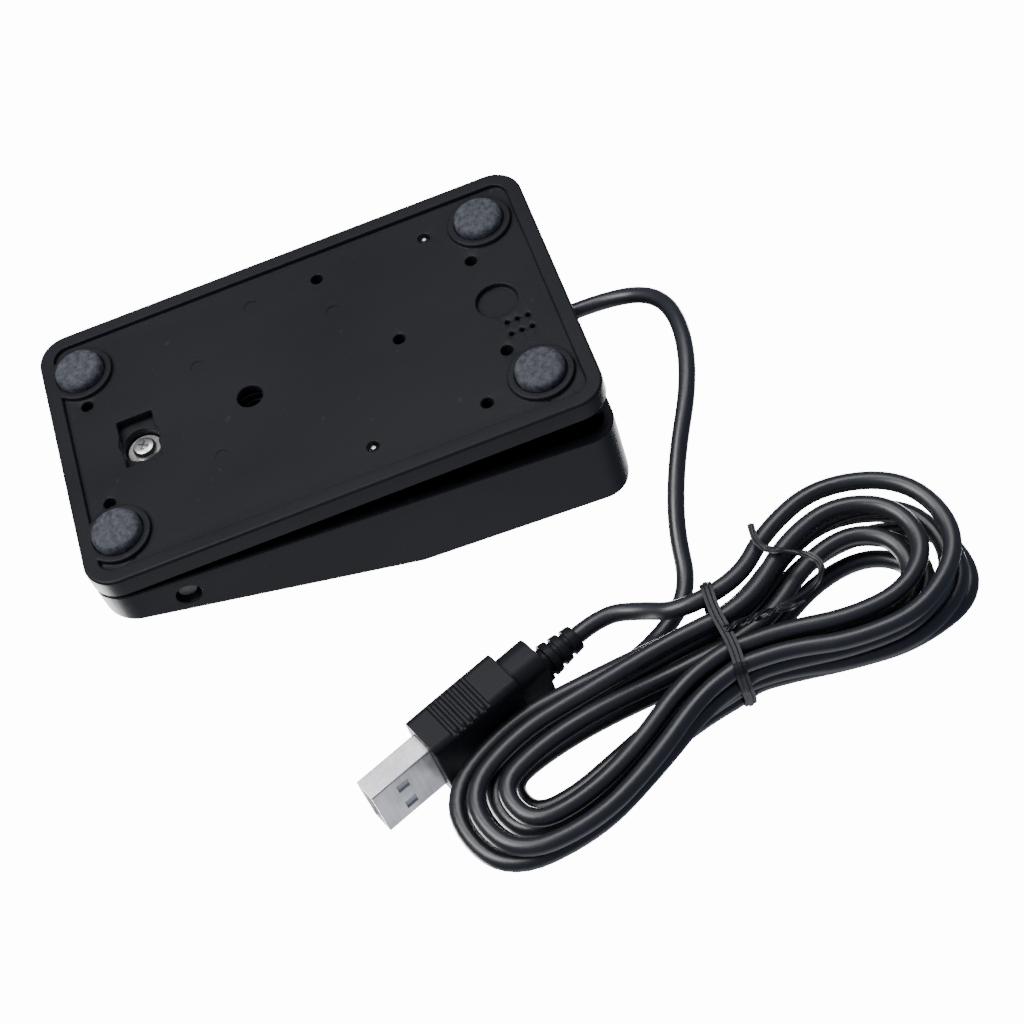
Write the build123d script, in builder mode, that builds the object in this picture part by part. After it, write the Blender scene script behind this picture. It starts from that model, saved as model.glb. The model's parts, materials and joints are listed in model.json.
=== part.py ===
from build123d import *
import math
import os

# Foot pedal switch, standing on its feet, low hinge end toward -Y, cord end toward +Y

os.makedirs("parts", exist_ok=True)

# Driving dimensions of the tray, millimetres
base_length = 100.0
base_width = 62.0
base_corner = 6.0
foot_height = 2.0
tray_height = 4.6
tray_wall = 2.0
tray_floor = 2.0
tray_recess = 1.0
rim_band = 3.0
tray_edge_round = 0.6

# Fits and clearances
running_fit = 0.05
close_fit = 0.1
clear = 0.3
overrun = 1.0

# Pedal shell
travel_deg = 4.1
hinge_from_heel = 15.4
hinge_height = 13.0
heel_top = 14.2
crown_top = 30.2
toe_top = 32.9
crown_from_heel = 57.0
pedal_wall = 2.0
pedal_top_wall = 2.2
crown_round = 60.0
toe_round = 3.0
heel_round = 2.4
tread_edge_round = 1.4
cavity_round = 1.2
rib_thickness = 1.5
rib_depth = 4.0
rib_side = 15.5
rib_start = 30.0
rib_end = 8.0
groove_radius = 0.9
groove_depth = 0.45
groove_length = 44.0
groove_first = 26.0
groove_last_inset = 7.5
groove_count = 8

# Hinge
axle_diameter = 4.0
axle_recess_diameter = 4.8
axle_recess = 1.2
axle_chamfer = 0.3
ear_radius = 4.2
ear_length = 6.0
block_width = 34.0
block_flange = 2.5
block_from_heel = 3.6
saddle_back = 5.6
saddle_front = 4.4
saddle_width = 22.0
saddle_roof_gap = 0.7
axle_screw_shank = 3.0
axle_screw_head = 4.6
axle_screw_head_height = 1.6
axle_screw_below_floor = 0.2
washer_diameter = 7.0
washer_thickness = 0.6
window_length = 11.3
window_width = 7.0
window_relief = 8.0
screw_slot = 0.7
screw_slot_depth = 0.8

# Shares, which hold at any size
upright_share = 0.9
slot_share = 2 / 3
slot_width_share = 1 / 6
tip_chamfer_share = 1 / 4
head_round_share = 1 / 3
edge_round_share = 1 / 8
dome_share = 0.45
corner_share = 0.45
relief_seat_share = 3 / 4
spring_place_share = 0.58377
ring_groove_share = 1 / 3

# Feet
foot_side = 20.3
foot_heel_inset = 7.6
foot_toe_inset = 10.1
foot_diameter = 9.6
foot_flat_diameter = 5.4
foot_plug_depth = 0.8
foot_boss_diameter = 12.6

# Screw bores seen from below
bore = 2.3
post_diameter = 5.5
mid_post_diameter = 4.4
post_height = 3.0
board_post_height = 4.0
heel_bore_side = 12.3
heel_bore_inset = 7.2
carrier_bore_side = 22.0
carrier_bore_far_inset = 43.4
carrier_bore_near_inset = 21.2
board_bore_side = 12.0
board_bore_inset = 14.3
mid_bore_inset = 32.3
screw_shank = 2.2
screw_head = 4.2
screw_head_height = 1.4
screw_tip_above = 0.25

# Other features of the tray's underside
spring_hole = 5.0
blind_diameter = 8.0
blind_depth = 1.2
blind_x = 0.4
blind_inset = 12.6
pinhole = 0.9
pinhole_x = -7.2
pinhole_inset = 10.25
pinhole_pitch_x = 2.95
pinhole_pitch_y = 2.05
mark_diameter = 3.0
mark_depth = 0.12
mark_side = 11.5
mark_from_heel = 29.7
far_mark_x = 21.2
far_mark_inset = 57.1
near_mark_x = 12.4
near_mark_inset = 42.4

# Return spring
spring_wire = 1.0
spring_diameter = 9.0
spring_free = 14.0
spring_turns = 7
spring_ring_wall = 1.2
spring_ring_height = 4.0
spring_post_length = 3.0

# Switch carrier and switch
carrier_plate = 2.0
carrier_side = 25.6
carrier_back_inset = 46.4
carrier_front_inset = 18.8
carrier_corner = 2.0
cheek_thickness = 1.75
cheek_height = 5.0
cheek_end = 3.2
switch_length = 20.0
switch_width = 6.4
switch_height = 9.5
switch_back_inset = 45.0
switch_pin_diameter = 2.3
switch_pin_pitch = 9.5
switch_pin_height = 2.9
lug_length = 2.2
lug_height = 1.4
lug_thickness = 1.2
lever_pin = 1.0
lever_pin_back = 1.1
lever_pin_up = 0.55
lever_thickness = 0.3
lever_width = 3.2
lever_length = 18.6
lever_rest_deg = 15.5
plunger_diameter = 1.8
plunger_from_pin = 5.5
plunger_travel = 1.4
plunger_length = 5.0
plunger_gap = 0.15
press_from_pin = 16.0
press_radius = 1.5
press_width = 6.0
press_gap = 0.15
terminal_thickness = 0.5
terminal_length = 3.6
terminal_width = 3.2
terminal_pitch = 7.1
terminal_inset = 2.9
lead_diameter = 0.9
lead_drop = 2.1
lead_side = 3.6
lead_near = 0.9

# Circuit board
board_length = 32.0
board_width = 11.5
board_thickness = 1.2
chip_length = 9.9
chip_width = 3.9
chip_height = 1.6
crystal_length = 10.8
crystal_width = 4.4
crystal_height = 3.4
capacitor_diameter = 5.0
capacitor_height = 7.0
header_length = 7.6
header_width = 2.5
header_height = 2.6

# Stop posts under the toe
stop_side = 23.0
stop_width = 4.0
stop_depth = 3.0
stop_gap = 0.1

# Cord entry
cord_diameter = 3.1
cord_x = -6.0
cord_jacket_inside = 5.5
gate_width = 9.0
gate_height = 1.0
notch_width = 7.0
notch_height = 2.0
clamp_post_side = 5.2
clamp_post_diameter = 3.6
clamp_from_wall = 2.6
clamp_bar_length = 14.0
clamp_bar_width = 4.0
clamp_bar_thickness = 1.6
clamp_screw_shank = 1.5
clamp_screw_head = 3.0
clamp_screw_head_height = 1.1
core_diameter = 0.8
core_spread = 0.6
core_reach = 3.2

# Hank of the cord: eight turns in four layers, lobes either side of the tied waist
hank_turns = 8
hank_layers = 4
hank_lift = 1.9
hank_pitch = 3.6
hank_x = -85.6
hank_beyond_toe = 1.5
waist_inner = 2.2
waist_step = 3.72
waist_half = 7.0
waist_flare = 2.4
waist_flare_out = 0.0
waist_turn_deg = 0.0
right_turn_deg = 8.5
right_widest = 27.0
right_widest_step = -2.0
right_half_inner = 7.4
right_half_step = 4.4
right_tip_inner = 30.0
right_tip_step = 5.4
left_turn_deg = 18.0
left_widest = 34.0
left_widest_step = -2.0
left_half_inner = 4.8
left_half_step = 4.0
left_tip_inner = 43.0
left_tip_step = 5.6
hank_end_run = 16.0
hank_end_half = 12.8

# Twist tie
tie_thickness = 0.75
tie_width = 3.0
tie_gap = 0.25
tie_corner = 2.4
twist_diameter = 1.7
twist_length = 7.5
tail_run = 9.5
tail_reach = 14.0
tail_turn_deg = 122.0

# Plug, lying on its narrow edge
plug_x = -72.5
plug_inset = 21.5
plug_turn_deg = 22.3
overmold_width = 15.6
overmold_thickness = 8.6
grip_length = 18.0
neck_length = 6.0
neck_width = 13.4
neck_thickness = 7.6
grip_round = 1.5
grip_rib_count = 6
grip_rib_start = 5.8
grip_rib_pitch = 1.45
grip_rib_width = 0.7
grip_rib_depth = 0.5
relief_length = 8.2
relief_root = 6.6
relief_end = 4.6
relief_rings = 3
relief_groove = 0.55
shell_length = 12.2
shell_width = 12.0
shell_thickness = 4.5
shell_sheet = 0.35
shell_window = 2.2
shell_window_pitch = 5.6
shell_window_from_tip = 5.6
tongue_width = 10.9
tongue_thickness = 1.9
tongue_length = 11.0
contact_count = 4
contact_width = 1.2
contact_thickness = 0.25
contact_length = 8.0
contact_pitch = 2.2

# Cord routes, points chosen along the photographed cord
exit_route = [
    (-6.0, 50.0, 6.65),
    (-6.0, 58.5, 6.65),
    (-12.0, 65.5, 3.6),
    (-22.0, 66.8, 1.8),
    (-34.0, 63.8, 2.6),
    (-46.0, 56.4, 6.8),
    (-57.0, 51.6, 11.0),
    (-68.2, 49.9, 14.1),
]
plug_route_middle = [
    (-72.1, 41.0, 6.0),
]

# Levels worked out from the sizes above
z_rim = foot_height
z_recess = z_rim + tray_recess
z_floor = z_recess + tray_floor
z_wall = z_rim + tray_height
heel_y = -base_length / 2
toe_y = base_length / 2
hinge_y = heel_y + hinge_from_heel
z_hinge = hinge_height
travel = math.radians(travel_deg)
rim_heel = z_wall + clear
rim_toe = rim_heel + base_length * math.tan(travel)
z_post = z_floor + post_height
z_board = z_floor + board_post_height
cord_radius = cord_diameter / 2
z_cord = z_floor + cord_radius + close_fit
carrier_back = toe_y - carrier_back_inset
carrier_front = toe_y - carrier_front_inset
carrier_bore_low = toe_y - carrier_bore_far_inset
carrier_bore_high = toe_y - carrier_bore_near_inset
switch_back = toe_y - switch_back_inset
board_bore_y = toe_y - board_bore_inset
mid_bore_y = toe_y - mid_bore_inset
blind_y = toe_y - blind_inset
pinhole_y = toe_y - pinhole_inset
mark_y = heel_y + mark_from_heel
far_mark_y = toe_y - far_mark_inset
near_mark_y = toe_y - near_mark_inset
groove_pitch = (base_length - groove_first - groove_last_inset) / (groove_count - 1)
spring_y = hinge_y + spring_place_share * (carrier_back - hinge_y)
foot_heel_y = heel_y + foot_heel_inset
foot_toe_y = toe_y - foot_toe_inset
foot_spots = [
    ("heel_left", -foot_side, foot_heel_y),
    ("heel_right", foot_side, foot_heel_y),
    ("toe_left", -foot_side, foot_toe_y),
    ("toe_right", foot_side, foot_toe_y),
]
carrier_spots = [
    (side * carrier_bore_side, y)
    for side in (-1, 1)
    for y in (carrier_bore_low, carrier_bore_high)
]
board_spots = [(-board_bore_side, board_bore_y), (board_bore_side, board_bore_y)]
heel_bore_y = heel_y + heel_bore_inset
heel_spots = [(-heel_bore_side, heel_bore_y), (heel_bore_side, heel_bore_y)]
clamp_y = toe_y - tray_wall - clamp_from_wall
clamp_spots = [(cord_x - clamp_post_side, clamp_y), (cord_x + clamp_post_side, clamp_y)]
z_clamp = z_cord + cord_radius + running_fit
cord_shift = toe_y - exit_route[0][1]
hank_y = toe_y + hank_beyond_toe
plug_y = toe_y - plug_inset


def keep(piece, node):
    """Labels a finished piece and writes its STEP file."""
    piece.part.label = node
    export_step(piece.part, f"parts/{node}.step")


# Side profile of the pedal, in its released place

heel_slope = (crown_top - heel_top) / crown_from_heel
toe_slope = (toe_top - crown_top) / (base_length - crown_from_heel)


def roof_height(y, inset=0.0):
    """Height of the tread line at y, drawn in by inset."""
    rear = heel_top + heel_slope * (y - heel_y) - inset * math.hypot(1, heel_slope)
    front = toe_top - toe_slope * (toe_y - y) - inset * math.hypot(1, toe_slope)
    return min(rear, front)


def crown_y(inset):
    """Where the two tread lines meet once drawn in."""
    rear = heel_top - heel_slope * heel_y - inset * math.hypot(1, heel_slope)
    front = toe_top - toe_slope * toe_y - inset * math.hypot(1, toe_slope)
    return (front - rear) / (heel_slope - toe_slope)


def rim_height(y):
    """Height of the pedal's lower edge at y while it is released."""
    return rim_heel + (y - heel_y) * math.tan(travel)


def pedal_block(wall, top_wall, drop, corner_round):
    """Closed block of the pedal's outer form, drawn in by its walls and let down by drop."""
    back = heel_y + wall
    front = toe_y - wall
    middle = crown_y(top_wall)
    with BuildPart() as block:
        with BuildSketch(Plane.YZ) as side:
            with BuildLine():
                Polyline(
                    (back, rim_height(back) - drop),
                    (front, rim_height(front) - drop),
                    (front, roof_height(front, top_wall)),
                    (middle, roof_height(middle, top_wall)),
                    (back, roof_height(back, top_wall)),
                    close=True,
                )
            make_face()
            heel_corners = side.vertices().group_by(Axis.Y)[0].sort_by(Axis.Z)
            fillet(heel_corners[-1:], heel_round - wall / 2)
            toe_corners = side.vertices().group_by(Axis.Y)[-1].sort_by(Axis.Z)
            fillet(toe_corners[-1:], toe_round - wall / 2)
            crest = side.vertices().filter_by(
                lambda v: abs(v.Y - middle) < wall + clear and v.Z > z_hinge
            )
            fillet(crest, crown_round)
        extrude(amount=base_width / 2 - wall, both=True)
        with BuildSketch(Plane.XY):
            RectangleRounded(base_width - 2 * wall, base_length - 2 * wall, base_corner - wall)
        extrude(amount=toe_top + overrun, mode=Mode.INTERSECT)
        top_edges = block.edges().filter_by(
            lambda e: e.center().Z > rim_height(e.center().Y) + wall + overrun
            and abs(e.center().X) > clear
            and abs(e.tangent_at(0).Z) < upright_share
        )
        fillet(top_edges, corner_round)
    return block.part


# Base tray

with BuildPart() as base_tray:
    with BuildSketch(Plane.XY.offset(z_rim)):
        RectangleRounded(base_width, base_length, base_corner)
    extrude(amount=tray_height)
    fillet(base_tray.faces().sort_by(Axis.Z)[0].edges(), tray_edge_round)
    # hollow above the floor
    with BuildSketch(Plane.XY.offset(z_floor)):
        RectangleRounded(
            base_width - 2 * tray_wall, base_length - 2 * tray_wall, base_corner - tray_wall
        )
    extrude(amount=tray_height, mode=Mode.SUBTRACT)
    # shallow recess below the floor, round bosses left for the feet
    with BuildSketch(Plane.XY.offset(z_recess)):
        RectangleRounded(
            base_width - 2 * rim_band, base_length - 2 * rim_band, base_corner - rim_band
        )
        with Locations(*[(x, y) for _, x, y in foot_spots]):
            Circle(foot_boss_diameter / 2, mode=Mode.SUBTRACT)
    extrude(amount=-tray_recess - overrun, mode=Mode.SUBTRACT)
    with BuildSketch(Plane.XY.offset(z_rim + foot_plug_depth)):
        with Locations(*[(x, y) for _, x, y in foot_spots]):
            Circle(foot_diameter / 2 + running_fit)
    extrude(amount=-foot_plug_depth - overrun, mode=Mode.SUBTRACT)
    # posts for the carrier and the board
    with BuildSketch(Plane.XY.offset(z_floor)):
        with Locations(*carrier_spots):
            Circle(post_diameter / 2)
        with Locations((0, mid_bore_y)):
            Circle(mid_post_diameter / 2)
    extrude(amount=post_height)
    with BuildSketch(Plane.XY.offset(z_floor)):
        with Locations(*board_spots):
            Circle(post_diameter / 2)
    extrude(amount=board_post_height)
    with BuildSketch(Plane.XY.offset(z_floor)):
        with Locations(*clamp_spots):
            Circle(clamp_post_diameter / 2)
    extrude(amount=z_clamp - z_floor)
    # ring that seats the spring
    with BuildSketch(Plane.XY.offset(z_floor)):
        with Locations((0, spring_y)):
            Circle(spring_diameter / 2 + clear + spring_ring_wall)
            Circle(spring_diameter / 2 + clear, mode=Mode.SUBTRACT)
    extrude(amount=spring_ring_height)
    # raised gate round the cord in the toe wall
    with BuildSketch(Plane.XY.offset(z_wall)):
        with Locations((cord_x, toe_y - tray_wall / 2)):
            Rectangle(gate_width, tray_wall)
    extrude(amount=gate_height)
    with BuildSketch(Plane.XZ.offset(-toe_y - overrun)):
        with Locations((cord_x, z_cord)):
            Circle(cord_radius + close_fit)
        with Locations((cord_x, z_cord + tray_height / 2)):
            Rectangle(cord_diameter + 2 * close_fit, tray_height)
    extrude(amount=tray_wall + 2 * overrun, mode=Mode.SUBTRACT)
    # through bores
    with BuildSketch(Plane.XY.offset(z_rim - overrun)):
        with Locations(*carrier_spots, *board_spots, *heel_spots, (0, mid_bore_y)):
            Circle(bore / 2)
        with Locations((0, spring_y)):
            Circle(spring_hole / 2)
        with Locations((pinhole_x, pinhole_y)):
            with GridLocations(pinhole_pitch_x, pinhole_pitch_y, 2, 3):
                Circle(pinhole / 2)
        with Locations((0, hinge_y)):
            Rectangle(window_length, window_width)
            Circle(window_relief / 2)
    extrude(amount=tray_height + board_post_height + 2 * overrun, mode=Mode.SUBTRACT)
    with BuildSketch(Plane.XY.offset(z_floor + overrun)):
        with Locations(*clamp_spots):
            Circle(clamp_screw_shank / 2 + running_fit)
    extrude(amount=tray_height, mode=Mode.SUBTRACT)
    # blind recess and the ejector marks
    with BuildSketch(Plane.XY.offset(z_recess + blind_depth)):
        with Locations((blind_x, blind_y)):
            Circle(blind_diameter / 2)
    extrude(amount=-blind_depth - overrun, mode=Mode.SUBTRACT)
    with BuildSketch(Plane.XY.offset(z_recess + mark_depth)):
        with Locations(
            (mark_side, mark_y), (-mark_side, mark_y),
            (far_mark_x, far_mark_y), (near_mark_x, near_mark_y),
        ):
            Circle(mark_diameter / 2)
    extrude(amount=-mark_depth - overrun, mode=Mode.SUBTRACT)
keep(base_tray, "base_tray")

# Rubber feet

for spot, foot_x, foot_y in foot_spots:
    with BuildPart() as foot:
        with BuildSketch(Plane.XZ.offset(-foot_y)):
            with BuildLine():
                Line((foot_x, z_rim + foot_plug_depth), (foot_x, 0))
                flat = Line((foot_x, 0), (foot_x + foot_flat_diameter / 2, 0))
                dome = TangentArc(
                    flat @ 1, (foot_x + foot_diameter / 2, foot_height), tangent=(1, 0)
                )
                Line(dome @ 1, (foot_x + foot_diameter / 2, z_rim + foot_plug_depth))
                Line(
                    (foot_x + foot_diameter / 2, z_rim + foot_plug_depth),
                    (foot_x, z_rim + foot_plug_depth),
                )
            make_face()
        revolve(axis=Axis((foot_x, foot_y, 0), (0, 0, 1)))
    keep(foot, f"foot_{spot}")

# Pedal shell

pedal_outer = pedal_block(0.0, 0.0, 0.0, tread_edge_round)
pedal_cavity = pedal_block(pedal_wall, pedal_top_wall, 2 * overrun, cavity_round)
pedal_room = pedal_block(pedal_wall / 2, pedal_top_wall / 2, 0.0, cavity_round)
lever_pin_y = switch_back + lever_pin_back
z_carrier = z_post + carrier_plate
z_switch = z_carrier + switch_height
z_lever_pin = z_switch + lever_pin_up
press_y = lever_pin_y + press_from_pin
lever_rest = math.radians(lever_rest_deg)
z_press = (
    z_lever_pin
    + press_from_pin * math.tan(lever_rest)
    + (press_radius + lever_thickness / 2 + press_gap) / math.cos(lever_rest)
)
z_spring_top = z_floor + spring_free
stop_y = toe_y - pedal_wall - stop_depth / 2
stop_far_y = toe_y - pedal_wall
z_stop = z_hinge + (
    z_floor + stop_gap - z_hinge + (stop_far_y - hinge_y) * math.sin(travel)
) / math.cos(travel)

with BuildPart() as inner_works:
    # hinge ears on the side walls
    for side in (-1, 1):
        with BuildSketch(Plane.YZ.offset(side * (base_width / 2 - pedal_wall / 2))):
            with Locations((hinge_y, z_hinge)):
                Circle(ear_radius)
        extrude(amount=-side * (ear_length + pedal_wall / 2))
    # post over the spring, with its shoulder
    with BuildSketch(Plane.XY.offset(z_spring_top)):
        with Locations((0, spring_y)):
            Circle(spring_diameter / 2 + spring_ring_wall / 2)
    extrude(amount=toe_top - z_spring_top)
    with BuildSketch(Plane.XY.offset(z_spring_top - spring_post_length)):
        with Locations((0, spring_y)):
            Circle(spring_diameter / 2 - spring_wire - clear)
    extrude(amount=spring_post_length)
    # finger that presses the switch lever
    with BuildSketch(Plane.YZ):
        with Locations((press_y, z_press)):
            Circle(press_radius)
        with Locations((press_y, (z_press + toe_top) / 2)):
            Rectangle(2 * press_radius, toe_top - z_press)
    extrude(amount=press_width / 2, both=True)
    # stop posts on the toe wall
    with BuildSketch(Plane.XY.offset(z_stop)):
        with Locations((-stop_side, stop_y + pedal_wall / 4), (stop_side, stop_y + pedal_wall / 4)):
            Rectangle(stop_width, stop_depth + pedal_wall / 2)
    extrude(amount=toe_top - z_stop)
    # long ribs under the tread
    for side in (-1, 1):
        with BuildSketch(Plane.YZ.offset(side * rib_side - rib_thickness / 2)):
            with BuildLine():
                rib_back = heel_y + rib_start
                rib_front = toe_y - rib_end
                rib_crown = crown_y(pedal_top_wall)
                rib_drop = pedal_top_wall + rib_depth
                Polyline(
                    (rib_back, roof_height(rib_back, rib_drop)),
                    (rib_crown, roof_height(rib_crown, rib_drop)),
                    (rib_front, roof_height(rib_front, rib_drop)),
                    (rib_front, toe_top),
                    (rib_back, toe_top),
                    close=True,
                )
            make_face()
        extrude(amount=rib_thickness)

with BuildPart() as pedal_shell:
    add(pedal_outer)
    add(pedal_cavity, mode=Mode.SUBTRACT)
    add(inner_works.part.intersect(pedal_room))
    # bores for the axle, opened at the outer faces
    with BuildSketch(Plane.YZ.offset(-base_width / 2 - overrun)):
        with Locations((hinge_y, z_hinge)):
            Circle(axle_diameter / 2 + running_fit)
    extrude(amount=base_width + 2 * overrun, mode=Mode.SUBTRACT)
    for side in (-1, 1):
        with BuildSketch(Plane.YZ.offset(side * (base_width / 2 - axle_recess))):
            with Locations((hinge_y, z_hinge)):
                Circle(axle_recess_diameter / 2)
        extrude(amount=side * (axle_recess + overrun), mode=Mode.SUBTRACT)
    # notch over the cord
    with BuildSketch(Plane.XZ.offset(-toe_y - overrun)):
        with Locations((cord_x, rim_toe)):
            Rectangle(notch_width, 2 * notch_height)
    extrude(amount=pedal_wall + overrun + clear, mode=Mode.SUBTRACT)
    # grooves across the tread
    for index in range(groove_count):
        groove_y = heel_y + groove_first + index * groove_pitch
        with BuildSketch(Plane.YZ):
            with Locations((groove_y, roof_height(groove_y, groove_depth - groove_radius))):
                Circle(groove_radius)
        extrude(amount=groove_length / 2, both=True, mode=Mode.SUBTRACT)
keep(pedal_shell, "pedal_shell")

# Hinge block, axle and the screw that holds it

block_heel = heel_y + block_from_heel
saddle_heel = hinge_y - saddle_back
saddle_toe = hinge_y + saddle_front
block_profile = [
    (block_heel, z_floor),
    (saddle_toe, z_floor),
    (saddle_toe, z_hinge + axle_diameter),
    (saddle_heel, roof_height(saddle_heel, pedal_top_wall + saddle_roof_gap)),
    (saddle_heel, z_floor + block_flange),
    (block_heel, z_floor + block_flange),
]
z_screw_head = z_floor + axle_screw_below_floor
z_washer = z_screw_head + axle_screw_head_height
z_washer_top = z_washer + washer_thickness
with BuildPart() as hinge_block:
    with BuildSketch(Plane.YZ):
        with BuildLine():
            Polyline(*block_profile, close=True)
        make_face()
    extrude(amount=saddle_width / 2, both=True)
    with BuildSketch(Plane.XY.offset(z_floor)):
        with Locations((0, (block_heel + saddle_toe) / 2)):
            Rectangle(block_width, saddle_toe - block_heel)
    extrude(amount=block_flange)
    with BuildSketch(Plane.YZ.offset(-block_width / 2)):
        with Locations((hinge_y, z_hinge)):
            Circle(axle_diameter / 2 + running_fit)
    extrude(amount=block_width, mode=Mode.SUBTRACT)
    with BuildSketch(Plane.XY.offset(z_floor - overrun)):
        with Locations((0, hinge_y)):
            Circle(washer_diameter / 2 + clear)
    extrude(amount=z_washer_top + overrun - z_floor, mode=Mode.SUBTRACT)
    with BuildSketch(Plane.XY.offset(z_floor)):
        with Locations((0, hinge_y)):
            Circle(axle_screw_shank / 2 + close_fit)
    extrude(amount=z_hinge - z_floor, mode=Mode.SUBTRACT)
    with BuildSketch(Plane.XY.offset(z_floor - overrun)):
        with Locations(*heel_spots):
            Circle(screw_shank / 2 + close_fit)
    extrude(amount=block_flange + 2 * overrun, mode=Mode.SUBTRACT)
keep(hinge_block, "hinge_block")

with BuildPart() as hinge_axle:
    with BuildSketch(Plane.YZ.offset(-base_width / 2 + axle_recess)):
        with Locations((hinge_y, z_hinge)):
            Circle(axle_diameter / 2)
    extrude(amount=base_width - 2 * axle_recess)
    chamfer(hinge_axle.edges().filter_by(GeomType.CIRCLE), axle_chamfer)
    with BuildSketch(Plane.XY.offset(z_hinge - axle_diameter)):
        with Locations((0, hinge_y)):
            Circle(axle_screw_shank / 2 + running_fit)
    extrude(amount=axle_diameter, mode=Mode.SUBTRACT)
keep(hinge_axle, "hinge_axle")

with BuildPart() as axle_screw:
    with BuildSketch(Plane.XY.offset(z_screw_head)):
        with Locations((0, hinge_y)):
            Circle(axle_screw_head / 2)
    extrude(amount=axle_screw_head_height)
    fillet(axle_screw.faces().sort_by(Axis.Z)[0].edges(), axle_screw_head_height * head_round_share)
    with BuildSketch(Plane.XY.offset(z_washer)):
        with Locations((0, hinge_y)):
            Circle(axle_screw_shank / 2)
    extrude(amount=z_hinge - running_fit - z_washer)
    with BuildSketch(Plane.XY.offset(z_screw_head - overrun)):
        with Locations((0, hinge_y)):
            Rectangle(axle_screw_head * slot_share, screw_slot)
            Rectangle(screw_slot, axle_screw_head * slot_share)
    extrude(amount=screw_slot_depth + overrun, mode=Mode.SUBTRACT)
keep(axle_screw, "axle_screw")

with BuildPart() as axle_washer:
    with BuildSketch(Plane.XY.offset(z_washer)):
        with Locations((0, hinge_y)):
            Circle(washer_diameter / 2)
            Circle(axle_screw_shank / 2 + running_fit, mode=Mode.SUBTRACT)
    extrude(amount=washer_thickness)
keep(axle_washer, "axle_washer")


def self_tapping_screw(node, x, y, z_seat, z_tip, shank, head, head_height):
    """Pan-head screw, head up on its seat, tip down."""
    with BuildPart() as screw:
        with BuildSketch(Plane.XY.offset(z_tip)):
            with Locations((x, y)):
                Circle(shank / 2)
        extrude(amount=z_seat - z_tip)
        chamfer(screw.faces().sort_by(Axis.Z)[0].edges(), shank * tip_chamfer_share)
        with BuildSketch(Plane.XY.offset(z_seat)):
            with Locations((x, y)):
                Circle(head / 2)
        extrude(amount=head_height)
        fillet(screw.faces().sort_by(Axis.Z)[-1].edges(), head_height * head_round_share)
        with BuildSketch(Plane.XY.offset(z_seat + head_height / 2)):
            with Locations((x, y)):
                Rectangle(head * slot_share, head * slot_width_share)
                Rectangle(head * slot_width_share, head * slot_share)
        extrude(amount=head_height, mode=Mode.SUBTRACT)
    keep(screw, node)


screw_sizes = (screw_shank, screw_head, screw_head_height)
for side, (spot_x, spot_y) in zip(("left", "right"), heel_spots):
    self_tapping_screw(
        f"heel_screw_{side}", spot_x, spot_y, z_floor + block_flange,
        z_recess + screw_tip_above, *screw_sizes,
    )

# Return spring

tiny = 1e-9
straight = 1e-6


def biarc(start, start_dir, end, end_dir):
    """Two tangent arcs from start to end, drawn into the current line."""
    chord = end - start
    both = start_dir + end_dir
    turn = 2 * (1 - start_dir.dot(end_dir))
    across = chord.dot(both)
    if turn < tiny:
        reach = chord.dot(chord) / (2 * across)
    else:
        reach = (math.sqrt(across**2 + turn * chord.dot(chord)) - across) / turn
    middle = (start + end + (start_dir - end_dir) * reach) * 0.5
    middle_dir = (end - end_dir * reach - start - start_dir * reach).normalized()
    for tail, head, heading in ((start, middle, start_dir), (middle, end, middle_dir)):
        if (head - tail).cross(heading).length < straight * (head - tail).length:
            Line(tail, head)
        else:
            TangentArc(tail, head, tangent=heading)


coil_radius = (spring_diameter - spring_wire) / 2
coil_rise = (spring_free - spring_wire) / spring_turns


def coil_point(quarter):
    """Place and direction on the spring's helix after so many quarter turns."""
    angle = quarter * math.pi / 2
    place = Vector(
        coil_radius * math.cos(angle),
        spring_y + coil_radius * math.sin(angle),
        z_floor + spring_wire / 2 + coil_rise * quarter / 4,
    )
    heading = Vector(
        -coil_radius * math.sin(angle),
        coil_radius * math.cos(angle),
        coil_rise / (2 * math.pi),
    )
    return place, heading.normalized()


with BuildPart() as return_spring:
    with BuildLine() as spring_path:
        for quarter in range(4 * spring_turns):
            biarc(*coil_point(quarter), *coil_point(quarter + 1))
    with BuildSketch(Plane(origin=coil_point(0)[0], z_dir=coil_point(0)[1])):
        Circle(spring_wire / 2)
    sweep()
keep(return_spring, "return_spring")

# Switch carrier and switch

switch_front = switch_back + switch_length
switch_middle = (switch_back + switch_front) / 2
pin_spots = [
    ("rear", switch_middle - switch_pin_pitch / 2),
    ("front", switch_middle + switch_pin_pitch / 2),
]
z_switch_pin = z_carrier + switch_pin_height
terminal_spots = [
    (name, switch_back + terminal_inset + index * terminal_pitch)
    for index, name in enumerate(("common", "closed", "open"))
]
cheek_inner = switch_width / 2 + running_fit
with BuildPart() as switch_carrier:
    with BuildSketch(Plane.XY.offset(z_post)):
        with Locations((0, (carrier_back + carrier_front) / 2)):
            RectangleRounded(2 * carrier_side, carrier_front - carrier_back, carrier_corner)
        with Locations((0, switch_middle)):
            Rectangle(
                terminal_width + 4 * clear, switch_length - 2 * overrun, mode=Mode.SUBTRACT
            )
    extrude(amount=carrier_plate)
    for side in (-1, 1):
        with BuildSketch(Plane.XY.offset(z_carrier)):
            with Locations((side * (cheek_inner + cheek_thickness / 2), switch_middle)):
                Rectangle(cheek_thickness, switch_length - 2 * cheek_end)
        extrude(amount=cheek_height)
    with BuildSketch(Plane.YZ.offset(-cheek_inner - cheek_thickness - overrun)):
        with Locations(*[(y, z_switch_pin) for _, y in pin_spots]):
            Circle(switch_pin_diameter / 2 + running_fit)
    extrude(amount=2 * (cheek_inner + cheek_thickness + overrun), mode=Mode.SUBTRACT)
    with BuildSketch(Plane.XY.offset(z_post - overrun)):
        with Locations(*carrier_spots):
            Circle(screw_shank / 2 + close_fit)
    extrude(amount=carrier_plate + 2 * overrun, mode=Mode.SUBTRACT)
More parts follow.
